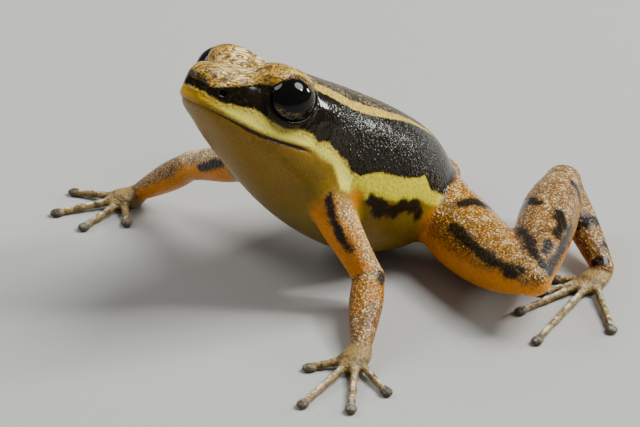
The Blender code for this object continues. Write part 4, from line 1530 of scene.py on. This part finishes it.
@dataclass
class Eye:
    """One eyeball, a ball of rings about the direction in which it looks."""
    flesh: Flesh
    name: str
    half: Side
    gaze: tuple[float, float, float] = (-0.60, 0.76, 0.24)
    rings: int = 40
    turns: int = 64

    def build(self, material: bpy.types.Material) -> bpy.types.Object:
        """Grid of polar angle and turn: centre plus radius times (cos, sin cos, sin sin), poles closed.

        Args:
            material: The eye's finish.

        Returns:
            The eye's object.
        """
        centre, axis = self.flesh.eye_axes(self.half)
        upward = self.flesh.stance.axes[2]
        side = unit(np.cross(axis, upward))
        up = np.cross(side, axis)
        polar = np.linspace(0.0, math.pi, self.rings + 1)[1:-1]
        turn = np.linspace(0.0, 2.0 * math.pi, self.turns, endpoint=False)
        p, t = (grid.ravel() for grid in np.meshgrid(polar, turn, indexing="ij"))
        ring = (np.cos(p)[:, None] * axis + (np.sin(p) * np.cos(t))[:, None] * side
                + (np.sin(p) * np.sin(t))[:, None] * up)
        rows = np.vstack([ring, axis[None], -axis[None]])
        index = np.arange(len(polar) * self.turns).reshape(len(polar), self.turns)
        after = np.roll(index, -1, axis=1)
        quads = np.stack([index[:-1], after[:-1], after[1:], index[1:]], axis=-1).reshape(-1, 4)
        first = np.stack([np.full(self.turns, len(ring)), after[0], index[0]], axis=-1)
        last = np.stack([np.full(self.turns, len(ring) + 1), index[-1], after[-1]], axis=-1)
        mesh = bpy.data.meshes.new(self.name)
        points = (centre + rows * EYE_RADIUS) * MM
        mesh.from_pydata(points, [], quads.tolist() + first.tolist() + last.tolist())
        gaze = self.flesh.stance.direction(*self.gaze, self.half)
        turned = np.clip(rows @ gaze, -1.0, 1.0)
        aside = np.sqrt(np.maximum(1.0 - turned ** 2, 1e-3))
        store(mesh, {"polar": np.arccos(turned) / (math.pi / 2),
                     "rise": (rows @ upward - turned * (upward @ gaze)) / aside})
        mesh.shade_smooth()
        eye = add_object(self.name, mesh)
        mesh.materials.append(material)
        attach(eye, "root")
        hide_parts(self.name.replace("ball", "eye"))
        return eye


MIDDLE = np.array([0.0, 0.0, 0.007])


@dataclass(frozen=True)
class SoftBox:
    """A round area light turned to the frog: where it stands, its width and its power."""
    name: str
    place: tuple[float, float, float]
    width: float
    power: float
    colour: Colour = (1.0, 1.0, 1.0)

    def build(self) -> bpy.types.Object:
        """Adds the light, turned towards the frog's middle.

        Returns:
            The light's object.
        """
        light = bpy.data.lights.new(self.name, "AREA")
        light.shape = "DISK"
        light.size = self.width
        light.energy = self.power
        light.color = self.colour
        lamp = add_object(self.name, light)
        back = unit(np.array(self.place) - MIDDLE)
        right = unit(np.cross([0.0, 0.0, 1.0], back))
        lamp.matrix_world = turned_to(right, np.cross(back, right), back, self.place)
        return lamp


@dataclass
class Studio:
    """Pale floor, soft light and the camera at the photograph's angle."""
    stance: Stance
    azimuth: float = math.radians(49.5)
    elevation: float = math.radians(29.0)
    roll: float = math.radians(1.1)
    distance: float = 204.0
    lens: float = 195.075
    sensor: float = 36.0
    aim: tuple[float, float, float] = (0.0, 0.0, -0.40)
    floor_reach: float = 3.0
    sky: tuple[float, float, float, float] = (0.92, 0.96, 1.0, 1.0)
    sky_strength: float = 0.22
    boxes: tuple[SoftBox, ...] = (
        SoftBox("sky", (0.09, 0.18, 0.32), 0.22, 2.2, (0.98, 1.0, 0.97)),
        SoftBox("key", (0.18, 0.18, 0.26), 0.05, 0.55, (1.0, 0.98, 0.94)),
        SoftBox("fill", (-0.24, -0.14, 0.26), 0.20, 0.75, (1.0, 0.98, 0.95)),
        SoftBox("rim", (0.10, 0.34, 0.12), 0.07, 0.75, (0.98, 1.0, 0.94)))

    def camera(self) -> bpy.types.Object:
        """Adds the camera, whose view direction comes from azimuth and elevation, rolled about itself.

        Returns:
            The camera's object.
        """
        a, e, r = self.azimuth, self.elevation, self.roll
        view = np.array([math.sin(a) * math.cos(e), -math.cos(a) * math.cos(e), math.sin(e)])
        right = np.array([math.cos(a), math.sin(a), 0.0])
        up = np.cross(view, right)
        right, up = right * math.cos(r) + up * math.sin(r), up * math.cos(r) - right * math.sin(r)
        place = (np.array(self.aim) + np.array(self.stance.shift) + view * self.distance) * MM
        lens = bpy.data.cameras.new("camera")
        lens.lens = self.lens
        lens.sensor_width = self.sensor
        lens.clip_start = 0.01
        camera = add_object("camera", lens)
        camera.matrix_world = turned_to(right, up, view, place)
        bpy.context.scene.camera = camera
        return camera

    def floor(self) -> bpy.types.Object:
        """Adds a plain square floor at the level of the feet.

        Returns:
            The floor's object.
        """
        mesh = bpy.data.meshes.new("floor")
        edge = self.floor_reach
        corners = [(-edge, -edge, 0.0), (edge, -edge, 0.0), (edge, edge, 0.0), (-edge, edge, 0.0)]
        mesh.from_pydata(corners, [], [(0, 1, 2, 3)])
        mesh.materials.append(FloorFinish().build())
        floor = add_object("floor", mesh)
        floor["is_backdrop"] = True
        return floor

    def build(self) -> None:
        """Adds floor, lights, sky and camera."""
        self.camera()
        self.floor()
        for box in self.boxes:
            box.build()
        world = bpy.data.worlds.new("sky")
        world.use_nodes = True
        background = world.node_tree.nodes["Background"]
        background.inputs["Color"].default_value = self.sky
        background.inputs["Strength"].default_value = self.sky_strength
        bpy.context.scene.world = world


def main() -> None:
    """Builds the frog and its studio in order."""
    logging.basicConfig(level=logging.INFO, format="%(name)s %(message)s")
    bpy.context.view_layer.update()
    stance = Stance.from_frame()
    LOG.info("step to the packed frame: %s mm", np.round(stance.shift, 3))
    arms, legs = [LEFT_ARM, RIGHT_ARM], [LEFT_LEG, RIGHT_LEG]
    for limb in arms + legs:
        limb.build(stance)
    flesh = Flesh(stance, Trunk(stance), arms, legs)
    skin = Skin(flesh, Markings(flesh), SkinFinish())
    skin.dress(skin.build())
    material = EyeFinish().build()
    for half in Side:
        name = half.name.lower() + "_ball"
        eye = Eye(flesh, name, half).build(material)
        LOG.info("%s: %d faces", name, len(eye.data.polygons))
    Studio(stance).build()
    LOG.info("sizes written")


if __name__ == "__main__":
    main()
